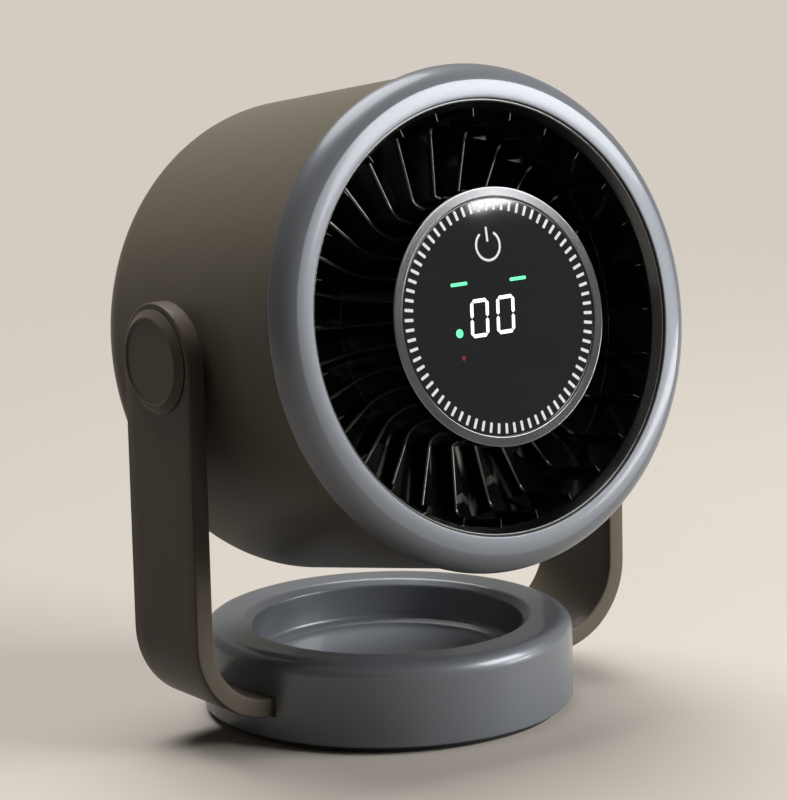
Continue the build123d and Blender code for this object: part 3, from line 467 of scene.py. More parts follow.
def layered(name, tone, pitch):
    """Metal in fine layers or turns of wire: bands along the head's axis, raised, and darker between them.
    The wave's scale of 1 / (3.2 pitch) gives about one band to a pitch."""
    made = Finish(name, Metallic=1.0)
    band = made.node(
        "ShaderNodeTexWave", {"wave_type": "BANDS", "bands_direction": "Z"},
        {"Vector": made.place(turn=(-AXIS_TURN, 0.0, 0.0)), "Scale": 1 / (pitch * 3.2), "Distortion": 0.15,
         "Detail": 1.0},
    )
    made.feed(
        Base_Color=made.blend(band, shade(tone, 0.45), shade(tone, 1.05)),
        Roughness=0.4 + 0.1 * (1 - band),
    )
    made.relief(band, strength=0.5, distance=0.0002)
    return made.material


def board_finish(name):
    """Circuit board: green solder mask with thin raised tracks and small bare pads."""
    made = Finish(name, Coat_Roughness=0.2)
    place = made.place(turn=(AXIS_TURN, 0.0, 0.0))
    edges = made.node(
        "ShaderNodeTexVoronoi", {"feature": "DISTANCE_TO_EDGE"}, {"Vector": place, "Scale": 260.0},
    )
    cells = made.node("ShaderNodeTexVoronoi", {}, {"Vector": place, "Scale": 330.0})
    tracks, outside_pads = edges > 0.06, cells > 0.24
    mask = made.blend(tracks, (0.012, 0.09, 0.045), (0.006, 0.045, 0.026))
    made.feed(
        Base_Color=made.blend(outside_pads, (0.55, 0.5, 0.32), mask),
        Metallic=0.8 * (1 - outside_pads),
        Roughness=0.3 + 0.1 * outside_pads,
    )
    made.relief(tracks, strength=0.3, distance=0.00004)
    return made.material


def chrome_finish(name):
    """Dark bright plating with the faintest haze."""
    made = Finish(name, Metallic=1.0)
    haze = made.noise(made.place(), 60.0, 4.0)
    made.feed(
        Base_Color=made.blend(haze, (0.14, 0.143, 0.15), (0.17, 0.174, 0.18)),
        Roughness=0.1 + 0.04 * haze,
    )
    return made.material


def glass_finish(name, tone):
    """Smoked glass with a black back: a gloss front with the faintest finger marks."""
    made = Finish(name, IOR=1.4)
    smear = made.noise(made.place(stretch=(1.0, 1.0, 2.0)), 42.0, 5.0)
    made.feed(
        Base_Color=made.blend(smear, shade(tone, 0.9), shade(tone, 1.1)),
        Roughness=0.015 + 0.03 * smear,
    )
    return made.material


def lit_finish(name, tone, strength):
    """A glowing mark: light that is a little uneven, through a diffusing window. The digits, ticks and status
    lights give this light themselves; on the unlit red dot and the printed power symbol it is a painted glow.
    """
    made = Finish(name, Emission_Strength=strength, Roughness=0.12)
    uneven = made.noise(made.place(), 500.0)
    made.feed(
        Base_Color=made.blend(uneven, shade(tone, 0.5), shade(tone, 0.6)),
        Emission_Color=made.blend(uneven, shade(tone, 0.85), shade(tone, 1.1)),
    )
    return made.material


def finish(name):
    """A finish of the fan by its name."""
    made = bpy.data.materials.get(f"fan {name}")
    if made:
        return made
    tones = bpy.context.scene.fan_colours
    return {
        "silver paint": lambda: satin_paint(name, tones.silver),
        "warm grey paint": lambda: satin_paint(name, tones.taupe, metallic=0.0, roughness=0.45, coat=0.05),
        "strap coating": lambda: satin_paint(name, tones.strap, metallic=0.0, roughness=0.42, coat=0.1),
        "button paint": lambda: satin_paint(name, shade(tones.silver, 1.5), metallic=0.5, roughness=0.4),
        "duct plastic": lambda: moulded(name, tones.duct, roughness=0.24, grain=500.0, depth=0.04, coat=0.9),
        "grille plastic": lambda: moulded(name, tones.grille, roughness=0.5),
        "impeller plastic": lambda: moulded(
            name, tones.impeller, roughness=0.34, grain=700.0, depth=0.05, spread=0.05,
        ),
        "black nylon": lambda: moulded(name, (0.014, 0.014, 0.016), roughness=0.5),
        "black rubber": lambda: moulded(name, (0.012, 0.012, 0.012), roughness=0.75, grain=2200.0, depth=0.3),
        "battery wrap": lambda: moulded(name, (0.02, 0.13, 0.3), roughness=0.3, grain=300.0, depth=0.03),
        "steel": lambda: worked_metal(name, (0.5, 0.51, 0.52)),
        "black screws": lambda: worked_metal(name, (0.045, 0.045, 0.05), roughness=0.38),
        "brass": lambda: worked_metal(name, (0.62, 0.42, 0.16), roughness=0.3, stretch=(0.05, 1.0, 1.0)),
        "magnet": lambda: worked_metal(name, (0.22, 0.22, 0.23), roughness=0.45),
        "cast metal": lambda: worked_metal(name, (0.52, 0.52, 0.53), roughness=0.5, stretch=(1.0, 1.0, 1.0)),
        "laminations": lambda: layered(name, (0.36, 0.36, 0.37), 0.0005),
        "copper wire": lambda: layered(name, (0.62, 0.24, 0.09), 0.0006),
        "circuit board": lambda: board_finish(name),
        "chrome": lambda: chrome_finish(name),
        "smoked glass": lambda: glass_finish(name, tones.glass),
        "tick light": lambda: lit_finish(name, (0.5, 0.51, 0.54), 1.0),
        "white light": lambda: lit_finish(name, tones.white_light, 1.5),
        "green light": lambda: lit_finish(name, tones.green_light, 1.4),
        # Painted glow: the printed power symbol is given an emission of its own.
        "symbol print painted glow": lambda: lit_finish(name, (0.55, 0.55, 0.58), 0.9),
        # Painted glow: the red dot is unlit, and its emission makes it glow faintly.
        "red dot painted glow": lambda: lit_finish(name, (0.18, 0.01, 0.012), 0.7),
    }[name]()


def dress(look, *nodes):
    """Gives CAD nodes that stay as they are a finish."""
    for node in nodes:
        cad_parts[node].material_slots[0].material = finish(look)


# ---- Base and yoke ----


class FAN_OT_base(bpy.types.Operator):
    """Round base with its dish, and the slots that the yoke's strap goes through"""

    bl_idname = "fan.base"
    bl_label = "Base"

    def execute(self, context):
        size = context.scene.fan_sizes
        radius, top, edge, dish = in_mm(size.base_radius, size.base_top, size.base_round, size.dish_radius)
        wall, bottom, dish_floor = 2.4, 2.4, 15.4
        slot_low, slot_high, slot_half, slot_steps = 10.1, 16.9, 19.3, 24
        outline = rounded([
            (radius, bottom, 0.6),
            (radius, slot_low),
            (radius, slot_high),
            (radius, top, edge),
            (dish + 3.5, top, 2.5),
            (dish + 0.9, top - 2.1, 1.2),
            (dish, dish_floor + 1.8, 2.2),
            (dish - 3.0, dish_floor, 3.0),
            (dish - 7.0, dish_floor),
            (0, dish_floor),
            (0, dish_floor - wall),
            (dish + wall, dish_floor - wall),
            (dish + 5.9, top - wall),
            (radius - wall, top - wall),
            (radius - wall, slot_high),
            (radius - wall, slot_low),
            (radius - wall, bottom),
        ])
        # The outline is cut where it meets the axis, so that it starts and ends there.
        outline = np.roll(outline, -int(np.argmin(outline[:, 0])) - 1, 0)
        half = np.arcsin(slot_half / radius)
        over_slot, between = np.linspace(-half, half, slot_steps + 1), np.linspace(half, pi - half, 57)
        angles = np.concatenate([over_slot, between[1:-1]])
        angles = np.concatenate([angles, angles + pi])
        points, faces = turned(outline, angles=angles)
        ring = outline[outline[:, 0] > SAME_POINT]
        walls = [
            [self.row(ring, r, level) for level in (slot_low, slot_high)] for r in (radius, radius - wall)
        ]
        faces[0] = self.cut_slots(faces[0], len(angles), walls, slot_steps)
        piece("base_body", [(points, faces)], "silver paint", "base", "base_shell")
        pad_radius, pad_height = 59.5, 3.4
        pad = rounded([(0, 0), (pad_radius, 0, 0.5), (pad_radius, pad_height, 0.2), (0, pad_height)])
        piece("base_foot", [turned(pad)], "black rubber", "base", "base_foot_pad")
        dress("steel", "base_plate", "base_ballast")
        dress("black screws", "base_plate_screws", "yoke_screws")
        return {"FINISHED"}

    @staticmethod
    def row(ring, radius, level):
        """Number of the outline's point that is nearest to a radius and a level."""
        return int(np.argmin(np.abs(ring[:, 0] - radius) + np.abs(ring[:, 1] - level)))

    @staticmethod
    def cut_slots(faces, columns, walls, steps):
        """Takes the faces of the outer and the inner wall between two rows away where the slots are, which is
        in the first few columns of each half turn, and joins the two walls round each slot."""
        (outer_low, outer_high), (inner_low, inner_high) = walls
        in_slot = faces[:, 0] % columns % (columns // 2) < steps
        in_wall = np.isin(faces[:, 0] // columns, [min(rows) for rows in walls])
        kept = [faces[~(in_wall & in_slot)]]
        for first in (0, columns // 2):
            near = first + np.arange(steps)
            for start, end in ((outer_low, inner_low), (inner_high, outer_high)):
                start, end = start * columns + near, end * columns + near
                kept.append(np.stack([start, end, end + 1, start + 1], -1))
            ends = np.array([[outer_low, outer_high, inner_high, inner_low]]) * columns + first
            kept += [ends, (ends + steps)[:, ::-1]]
        return np.concatenate(kept)


class FAN_OT_yoke(bpy.types.Operator):
    """Strap bent into a U, with round-topped arms and softened edges"""

    bl_idname = "fan.yoke"
    bl_label = "Yoke"

    def execute(self, context):
        size = context.scene.fan_sizes
        thickness, width, edge = in_mm(size.arm_thickness, size.arm_width, size.arm_edge)
        middle = size.arm_inner / MM + thickness / 2
        top = PIVOT_HEIGHT + width / 2
        step_from, step_to, low, high, step_bend, arm_bend = 49.0, 56.5, 8.5, 13.5, 6.0, 25.4
        step = [(step_from, low, step_bend), (step_to, high, step_bend)]
        right = [*step, (middle, high, arm_bend), (middle, top, 0)]
        left = [(-x, z, r) for x, z, r in reversed(right)]
        line = rounded(left + right, 24, 0.0)
        line = np.roll(line, -int(np.argmin(np.linalg.norm(line - [-middle, top], axis=1))), 0)
        strap = self.strap(line, thickness, width, edge)
        piece("yoke_strap", [strap], "strap coating", "base", "yoke", weld=0.002)
        return {"FINISHED"}

    @staticmethod
    def strap(line, thickness, width, edge):
        """A pill-shaped blank, s along and y across, bent along a line: point (s, y, n) goes to
        line(s) + n normal(s). Its outline's points are (s, y) = end + half-width (cos t, sin t) at the two
        ends; the edges are quarter rounds, set in from the outline along its own normal."""
        walked = np.concatenate([[0], np.cumsum(np.linalg.norm(np.diff(line, axis=0), axis=1))])
        total, half = walked[-1], width / 2
        turn = np.linspace(0, pi / 2, 25)
        straight = np.linspace(half, total - half, 261)[1:-1]
        at_end, between = np.ones(len(turn)), np.ones(len(straight))
        out_s = np.concatenate([-np.cos(turn), 0 * between, np.cos(turn[::-1])])
        out_y = np.concatenate([np.sin(turn), between, np.sin(turn[::-1])])
        s = np.concatenate([half * at_end, straight, (total - half) * at_end]) + half * out_s
        bend = np.linspace(0, pi / 2, 5)
        sink, fall = edge * (1 - np.sin(bend)), edge * (1 - np.cos(bend))
        inset = np.concatenate([sink, sink[::-1]])
        level = np.concatenate([thickness / 2 - fall, fall[::-1] - thickness / 2])
        edge_s = s[:, None] - out_s[:, None] * inset
        edge_y = half * out_y[:, None] - out_y[:, None] * inset
        across = np.linspace(-1, 1, 9)[1:-1]
        rows = len(s)

        def side(column, share, height):
            """Points straight across the strap, between its two rounded edges."""
            return np.stack([
                np.tile(edge_s[:, column, None], len(share)), edge_y[:, column, None] * share,
                np.full((rows, len(share)), height),
            ], -1)

        s, y, n = np.moveaxis(np.concatenate([
            np.stack([edge_s, edge_y, np.tile(level, (rows, 1))], -1),
            side(-1, -across, -thickness / 2),
            np.stack([edge_s[:, ::-1], -edge_y[:, ::-1], np.tile(level[::-1], (rows, 1))], -1),
            side(0, across, thickness / 2),
        ], axis=1), -1, 0)
        ahead = unit(np.gradient(line, axis=0))
        x, z, ahead_x, ahead_z = (np.interp(s, walked, track) for track in (*line.T, *ahead.T))
        placed = np.stack([x - n * ahead_z, y, z + n * ahead_x], -1)
        return placed.reshape(-1, 3), [grid_faces(rows, placed.shape[1], False, True)]


class FAN_OT_pivots(bpy.types.Operator):
    """Round pivot caps with a sloping side, and the finishes of the pins, bushes and washers"""

    bl_idname = "fan.pivots"
    bl_label = "Pivots"

    def execute(self, context):
        size = context.scene.fan_sizes
        radius, outer = size.cap_radius / MM, (size.arm_inner + size.arm_thickness) / MM
        top, dip, spigot = outer + 2.5, 0.5, 11.0
        outline = rounded([
            (0, top - dip),
            (radius - 3.5, top - dip, 0.25),
            (radius - 3.05, top, 0.15),
            (radius - 2.4, top, 0.25),
            (radius, outer + 0.5, 0.2),
            (radius, outer + 0.12, 0.12),
            (radius - 0.7, outer + 0.12, 0.12),
            (radius - 0.7, outer - 0.02),
            (spigot, outer - 0.02),
            (spigot, outer - 2.0),
            (0, outer - 2.0),
        ], 5, 0.12)
        for name, side in SIDES.items():
            cap = moved([turned(outline, 120)], lambda points: on_side(points, side))
            piece(f"cap_{name}", cap, "strap coating", "base", f"pivot_cap_{name}")
            dress("black nylon", f"pivot_bush_{name}")
            dress("black rubber", f"friction_washer_{name}")
            dress("steel", f"pivot_pin_{name}")
            dress("brass", f"pivot_insert_{name}")
        return {"FINISHED"}


# ---- Head: outer housing ----

# Place in millimetres forward of the pivot.
HEAD_BACK = -50.3


class FAN_OT_barrel(bpy.types.Operator):
    """Rear housing with its rounded back, and the pads that the washers bear on"""

    bl_idname = "fan.barrel"
    bl_label = "Barrel"

    def execute(self, context):
        radius = context.scene.fan_sizes.barrel_radius / MM
        front, wall, back_round, opening = 53.6, 2.2, 13.0, 63.8
        outline = rounded([
            (radius, front, 0.45),
            (radius, HEAD_BACK, back_round),
            (opening, HEAD_BACK, 0.5),
            (opening, HEAD_BACK + wall),
            (radius - 13.5, HEAD_BACK + wall),
            (radius - 6.0, HEAD_BACK + 6.0),
            (radius - wall, HEAD_BACK + 13.5),
            (radius - wall, front),
        ], 14)
        pad_radius, bore, pad_inner, recess, pad_outer = 14.0, 5.0, 78.2, 80.0, 81.0
        pad = rounded([
            (0, pad_inner), (pad_radius, pad_inner), (pad_radius, pad_outer, 0.5),
            (bore, pad_outer), (bore, recess), (0, recess),
        ])
        shells = moved([turned(outline, 200)], on_head)
        for side in SIDES.values():
            shells += moved([turned(pad, 96)], lambda points: on_side(points, side))
        piece("rear_housing", shells, "warm grey paint", "head", "barrel")
        return {"FINISHED"}


class FAN_OT_bezel(bpy.types.Operator):
    """Front ring: a wide round outside that ends in a crease, and a nearly flat band inside it"""

    bl_idname = "fan.bezel"
    bl_label = "Front ring"

    def execute(self, context):
        radius = context.scene.fan_sizes.bezel_radius / MM
        inner, front, back, lip = 70.0, 64.3, 54.3, 0.45
        groove_inner, groove_outer, joint = 76.2, 77.9, 52.0
        wide, wide_middle, start, crease = 10.0, 54.7, 10, 66.4
        outer = arc_points((radius - wide, wide_middle), wide, start, crease, 22)
        band = np.array([
            (radius - 6.2, front - 0.38), (inner + 3, front - 0.18), (inner + 0.75, front - 0.03),
            (inner + lip, front - 0.06),
        ])
        edge = arc_points((inner + lip, front - 0.06 - lip), lip, 90, 180, 7)[1:]
        rear = np.array([
            (inner, front - 2.4), (radius - 6, front - 3.0), (radius - 3, back + 3.2),
            (radius - 2.8, back + 2.6), (groove_inner, back + 1.5), (groove_inner, joint),
            (groove_outer, joint), (groove_outer, back),
            (radius - 2.1, back), (radius - 1.8, back + 0.03), (radius - 1.3, back + 0.25),
            (radius - 0.8, back + 0.75), (radius - 0.35, back + 1.5),
        ])
        ring = turned(np.concatenate([outer, band, edge, rear]), 240)
        head_piece("front_ring", [ring], "silver paint", "front_bezel", sharp=14.0)
        return {"FINISHED"}


# ---- Head: air duct ----

# Places in millimetres forward of the pivot.
VANE_RING_BACK, VANE_BACK, VANE_FRONT, VANE_RING_FRONT, RIB_FRONT = 12.0, 15.0, 36.0, 38.0, 59.5
HUB_BACK, DUCT_SEAM, HUB_FRONT, DUCT_FRONT = 14.0, 35.0, 62.4, 63.4
# Sizes in millimetres, and the place of the first vane in degrees.
VANE_CORNER, RIB_DEPTH, HUB_WALL, LIP_WALL, DUCT_WALL = 3.5, 2.6, 1.4, 1.2, 2.3
VANE_PHASE = -94.5


def edge_plate(front, rear, drift, thickness, closing=0.0):
    """Plate between a front path and a rear path, both (r, a), with its front edge rounded.
    Row i is a loop down one face from front to rear and back up the other, where a point is
    (r, w, a), w = drift(a) -/+ half the thickness, and near the front the faces close in a half circle.
    closing says by how much the last rows close in, from 0 to 1, so that the plate ends rounded."""
    rows, half = len(front), thickness / 2
    share = np.concatenate([[0.0], np.linspace(0.06, 1, 9)])
    inward = unit(rear - front)
    nose = np.linspace(-pi / 2, pi / 2, 9)[1:-1]
    taper = np.ones(rows)
    taper[-5:] = 1 - closing * (1 - np.sin(np.linspace(pi / 2, 0, 5)))
    start = front + inward * half
    side = start[:, None] + (rear - start)[:, None] * share[None, :, None]
    tip = start[:, None] - inward[:, None] * (half * np.cos(nose))[None, :, None]
    path = np.concatenate([side[:, ::-1], tip, side], axis=1)
    face = np.full(len(share), half)
    lift = np.concatenate([-face, half * np.sin(nose), face])
    across = drift(path[..., 1]) + lift[None] * taper[:, None]
    return bar(np.stack([path[..., 0], across, path[..., 1]], -1))


def tail_drift(depth):
    """Sideways bend of a vane's tail: R - sqrt(R^2 - (31 - a)^2) behind the straight front plate, with R
    such that the tail reaches 6 mm to the side at its rear edge."""
    bend, sweep = 31.0, 6.0
    radius = ((bend - VANE_BACK) ** 2 + sweep ** 2) / (2 * sweep)
    behind = np.clip(bend - depth, 0, bend - VANE_BACK)
    return radius - np.sqrt(radius ** 2 - behind ** 2)


def vane_corner(rib):
    """Quarter round from a vane's front edge into its rib, in the two parts that the ring's front divides."""
    turn = arc_points((rib - VANE_CORNER, VANE_FRONT + VANE_CORNER), VANE_CORNER, -90, 0, 15)
    split = int(np.argmin(np.abs(turn[:, 1] - VANE_RING_FRONT)))
    turn[split, 1] = VANE_RING_FRONT
    return turn[:split + 1], turn[split:]


class FAN_OT_duct(bpy.types.Operator):
    """Air duct: guide vane ring, throat with a rib along the wall for each vane, and hub"""

    bl_idname = "fan.duct"
    bl_label = "Air duct"

    def execute(self, context):
        size = context.scene.fan_sizes
        duct, hub, thickness = in_mm(size.duct_radius, size.hub_radius, size.vane_thickness)
        self.vane_ring(duct, hub, thickness, size.vane_count)
        self.throat(duct, thickness, size.vane_count)
        self.cup(hub)
        dress("duct plastic", "impeller_shroud")
        dress("black screws", "duct_screws")
        return {"FINISHED"}

    @staticmethod
    def vane_ring(duct, hub, thickness, number):
        """Vanes between a wall and a sleeve. A vane's front edge runs out along r and turns into its rib."""
        rib, root = duct - RIB_DEPTH, hub - 0.8
        reach = np.linspace(root, rib - VANE_CORNER, 12)[:-1]
        plate = np.column_stack([reach, np.full(len(reach), VANE_FRONT)])
        front = np.concatenate([plate, vane_corner(rib)[0]])
        share = np.linspace(0, 1, len(front))
        rear = np.column_stack([root + (duct + 0.8 - root) * share, np.full(len(share), VANE_BACK)])
        vane = edge_plate(front, rear, tail_drift, thickness)
        wall = rounded([
            (duct, VANE_RING_BACK), (duct, VANE_RING_FRONT, 0.12), (duct + LIP_WALL, VANE_RING_FRONT),
            (duct + LIP_WALL, DUCT_SEAM), (duct + DUCT_WALL, DUCT_SEAM),
            (duct + DUCT_WALL, VANE_RING_BACK),
        ], 3, 0.1)
        sleeve = rounded([
            (hub, VANE_FRONT, 0.15), (hub - HUB_WALL, VANE_FRONT),
            (hub - HUB_WALL, HUB_BACK), (hub, HUB_BACK, 0.3),
        ], 3, 0.1)
        shells = [turned(wall, 168), turned(sleeve, 120), *around(vane, number, VANE_PHASE)]
        head_piece("guide_vanes", shells, "duct plastic", "guide_vane_ring")

    @staticmethod
    def throat(duct, thickness, number):
        """Wall of the duct in front of the vane ring, with its ribs and the flange behind the front ring."""
        rib = duct - RIB_DEPTH
        ahead = np.linspace(VANE_FRONT + VANE_CORNER + 1.0, RIB_FRONT, 13)
        front = np.concatenate([vane_corner(rib)[1], np.column_stack([np.full(len(ahead), rib), ahead])])
        rear = np.column_stack([np.full(len(front), duct + 0.6), front[:, 1]])
        rib_shell = edge_plate(front, rear, np.zeros_like, thickness, closing=0.9)
        flange, flange_front, flange_back = 77.7, 52.0, 50.0
        wall = rounded([
            (duct, VANE_RING_FRONT, 0.12), (duct, RIB_FRONT + 0.4, 3.0), (duct + 2.2, DUCT_FRONT, 0.3),
            (duct + 2.9, DUCT_FRONT, 0.2), (duct + 2.9, flange_front), (flange, flange_front),
            (flange, flange_back), (duct + DUCT_WALL, flange_back), (duct + DUCT_WALL, DUCT_SEAM),
            (duct + LIP_WALL, DUCT_SEAM), (duct + LIP_WALL, VANE_RING_FRONT),
        ], 5, 0.1)
        shells = [turned(wall, 168), *around(rib_shell, number, VANE_PHASE)]
        head_piece("duct_throat", shells, "duct plastic", "throat_ring")

    @staticmethod
    def cup(hub):
        """Hub: a sleeve with a floor that carries the motor, and a ledge under the display board."""
        inner, upper, ledge, bore = hub - 3.2, hub - 2.0, hub - 4.0, 8.2
        floor_back, floor_front, slope_back, slope_front = 31.0, 33.5, 35.0, 37.0
        ledge_back, ledge_front = 57.0, 58.8
        outline = rounded([
            (hub, HUB_FRONT), (hub, VANE_FRONT, 0.15), (hub - HUB_WALL, VANE_FRONT),
            (hub - HUB_WALL, HUB_BACK, 0.3), (inner, HUB_BACK, 0.3), (inner, floor_back),
            (bore, floor_back), (bore, floor_front), (inner, floor_front),
            (inner, slope_back), (upper, slope_front), (upper, ledge_back), (ledge, ledge_back),
            (ledge, ledge_front), (upper, ledge_front), (upper, HUB_FRONT),
        ], 3, 0.1)
        head_piece("hub", [turned(outline, 144)], "duct plastic", "hub_cup")


# ---- Head: display ----

# Places in millimetres forward of the pivot, and how far a mark stands proud of the glass.
BOARD_FRONT, GLASS_BACK, GLASS_FRONT, RING_FRONT = 60.4, 65.2, 66.3, 66.6
PROUD = 0.03


def rounded_box(low, high, radius, steps=2):
    """Rectangle between two corners, with its corners rounded."""
    (x0, y0), (x1, y1) = low, high
    return rounded([(x0, y0, radius), (x1, y0, radius), (x1, y1, radius), (x0, y1, radius)], steps, 0.0)


def mark(outline):
    """Light guide from the display board to just past the front of the glass."""
    return prism(outline, BOARD_FRONT, GLASS_FRONT + PROUD)


class FAN_OT_display(bpy.types.Operator):
    """Display: bright ring, smoked glass, ticks, digits, status lights and a plain power symbol"""

    bl_idname = "fan.display"
    bl_label = "Display"

    def execute(self, context):
        size = context.scene.fan_sizes
        hub = size.hub_radius / MM
        rim, seat, edge = hub + 0.8, hub + 0.05, hub - 2.6
        ring = rounded([
            (seat, BOARD_FRONT), (rim, BOARD_FRONT, 0.2), (rim, RING_FRONT, 0.45),
            (edge, RING_FRONT, 0.35), (edge, HUB_FRONT), (seat, HUB_FRONT),
        ], 6, 0.05)
        head_piece("display_bezel", [turned(ring, 200)], "chrome", "display_ring")
        pane = edge - 0.1
        glass = rounded([
            (0, GLASS_BACK), (pane, GLASS_BACK, 0.1), (pane, GLASS_FRONT, 0.25), (0, GLASS_FRONT),
        ], 5, 0.3)
        head_piece("display_pane", [turned(glass, 160)], "smoked glass", "display_glass")
        self.ticks(size.tick_count)
        self.digits()
        self.lights()
        self.symbol()
        dress("circuit board", "display_board")
        return {"FINISHED"}

    @staticmethod
    def ticks(number):
        """Radial bars on the light ring, which reach through to the front of the glass."""
        inner, outer, back, front = 33.2, 38.1, BOARD_FRONT, 64.7
        ring = rounded([(inner, back), (outer, back), (outer, front), (inner, front)])
        tick_inner, tick_outer, half = 34.0, 37.3, 0.5
        tick = rounded_box((tick_inner, -half), (tick_outer, half), half / 2)
        tick = prism(tick, front - 0.1, GLASS_FRONT + PROUD)
        head_piece("tick_marks", [turned(ring, 120), *around(tick, number)], "tick light", "tick_light_ring")

    @staticmethod
    def digits():
        """Six outer segments of each digit: long hexagons, leaning with the digit."""
        high, wide, stroke, lean, gap = 12.2, 7.3, 1.2, radians(7.0), 0.3
        tall, across = (high - stroke) / 2, wide - stroke

        def segment(x, y, size, turn):
            half, s = size / 2, stroke / 2
            flat = np.array([
                (-half, 0), (-half + s, -s), (half - s, -s), (half, 0), (half - s, s), (-half + s, s),
            ])
            spin = np.array([[cos(turn), -sin(turn)], [sin(turn), cos(turn)]])
            return mark(flat @ spin.T + [x, y])

        shells = []
        first, second, middle = -8.05, 2.35, 0.5
        for centre in (first, second):
            for end in (-1, 1):
                shells.append(segment(centre + end * tall * sin(lean), middle + end * tall, across - gap, 0))
                for level in (-0.5, 0.5):
                    x = centre + end * across / 2 + level * tall * sin(lean)
                    shells.append(segment(x, middle + level * tall, tall - gap, pi / 2 - lean))
        head_piece("digits", shells, "white light", "digit_segments")

    @staticmethod
    def lights():
        """Two green dashes and a green dot, and a small red dot that is unlit but has a faint painted glow:
        centre + radius (cos t, sin t).
        """
        dash = rounded_box((-3.3, -0.55), (3.3, 0.55), 0.4, 3)
        green = [dash + [-14.5, 12.0], dash + [9.0, 11.2], arc_points((-16.7, -3.4), 1.4, 0, 345, 24)]
        red = [arc_points((-16.3, -11.3), 0.8, 0, 345, 24)]
        head_piece("status_marks", [mark(outline) for outline in green], "green light", "status_lights")
        # The red dot glows with painted light: it is an unlit dot with a faint emission.
        head_piece("red_mark", [mark(outline) for outline in red], "red dot painted glow")

    @staticmethod
    def symbol():
        """Plain power symbol: a ring r (cos t, sin t) that is open at the top, and a short bar in the gap."""
        x, y, radius, stroke, open_from, open_to = -1.1, 22.9, 4.7, 0.8, 55, 125
        t = np.radians(np.linspace(open_to, open_from + 360, 49))
        inner, outer = radius - stroke / 2, radius + stroke / 2
        low, high = GLASS_FRONT - 0.2, GLASS_FRONT + 0.02
        loops = np.stack([
            np.stack([x + r * np.cos(t), y + r * np.sin(t), np.full(len(t), a)], -1)
            for r, a in ((inner, low), (outer, low), (outer, high), (inner, high))
        ], 1)
        post = rounded_box((-stroke / 2, 1.2), (stroke / 2, 6.0), 0.2)
        # The printed symbol is a thin layer at the front of the glass with no light guide behind it, and its
        # glow is painted light.
        head_piece("power_symbol", [bar(loops), prism(post + [x, y], low, high)], "symbol print painted glow")


# ---- Rotor ----


class FAN_OT_impeller(bpy.types.Operator):
    """Impeller: a cup with wide twisted blades"""

    bl_idname = "fan.impeller"
    bl_label = "Impeller"

    def execute(self, context):
        outer, inner, flat, boss, bore = 39.5, 37.3, 30.5, 6.0, 2.5
        back, floor, shoulder, boss_front, front = -18.0, -15.8, -9.0, -7.0, 11.0
        cup = rounded([
            (bore, back), (flat, back, 5.0), (37.0, -15.5, 4.0), (outer, shoulder, 3.0),
            (outer, front, 0.3), (inner, front, 0.3), (inner, shoulder), (flat, floor),
            (boss, floor), (boss, boss_front), (bore, boss_front),
        ], 6)
        phase = 12.0
        shells = [turned(cup, 144), *around(self.blade(), context.scene.fan_sizes.blade_count, phase)]
        head_piece("impeller_wheel", shells, "impeller plastic", "impeller", body="rotor")
        dress("steel", "rotor_shaft")
        dress("cast metal", "rotor_can")
        dress("magnet", "rotor_magnets")
        dress("black screws", "impeller_nut")
        return {"FINISHED"}

    @staticmethod
    def blade():
        """Ruled surface between a root and a tip section. A section's point at a share p of the chord, from
        -1/2 to 1/2, is raised by camber (1 - 4 p^2) -/+ half the thickness, which closes in towards both
        edges as sqrt(1 - (2 p)^8), and the section is turned by its stagger. Each ruled line is cut where it
        crosses the hub's and the tip's cylinder."""
        p = np.sin(np.linspace(-pi / 2, pi / 2, 33)) / 2
        closing = np.sqrt(np.clip(1 - np.abs(2 * p) ** 8, 0, 1))
        p = np.concatenate([p, p[-2:0:-1]])
        side = np.concatenate([closing, -closing[-2:0:-1]])
        camber, middle, hub_radius, tip_radius = 4.0, -4.5, 39.0, 65.4

        def section(distance, chord, stagger, thickness, lead):
            lift = camber * (1 - 4 * p ** 2) + side * thickness / 2
            c, s = cos(radians(stagger)), sin(radians(stagger))
            across, along = lead + chord * p * c - lift * s, chord * p * s + lift * c + middle
            return np.stack([np.full(len(p), distance), across, along], -1)

        root = section(hub_radius - 1.0, chord=32, stagger=44, thickness=2.2, lead=0)
        tip = section(tip_radius + 2.0, chord=46, stagger=27, thickness=1.6, lead=8)
        run = tip - root

        def crossing(radius):
            a, b = (run[:, :2] ** 2).sum(1), (root[:, :2] * run[:, :2]).sum(1)
            c = (root[:, :2] ** 2).sum(1) - radius ** 2
            return (-b + np.sqrt(np.maximum(b ** 2 - a * c, 0))) / a

        near, far = np.maximum(crossing(hub_radius), 0), crossing(tip_radius)
        share = near + (far - near) * np.linspace(0, 1, 15)[:, None]
        return bar(root + run * share[..., None])


# ---- Head: rear ----


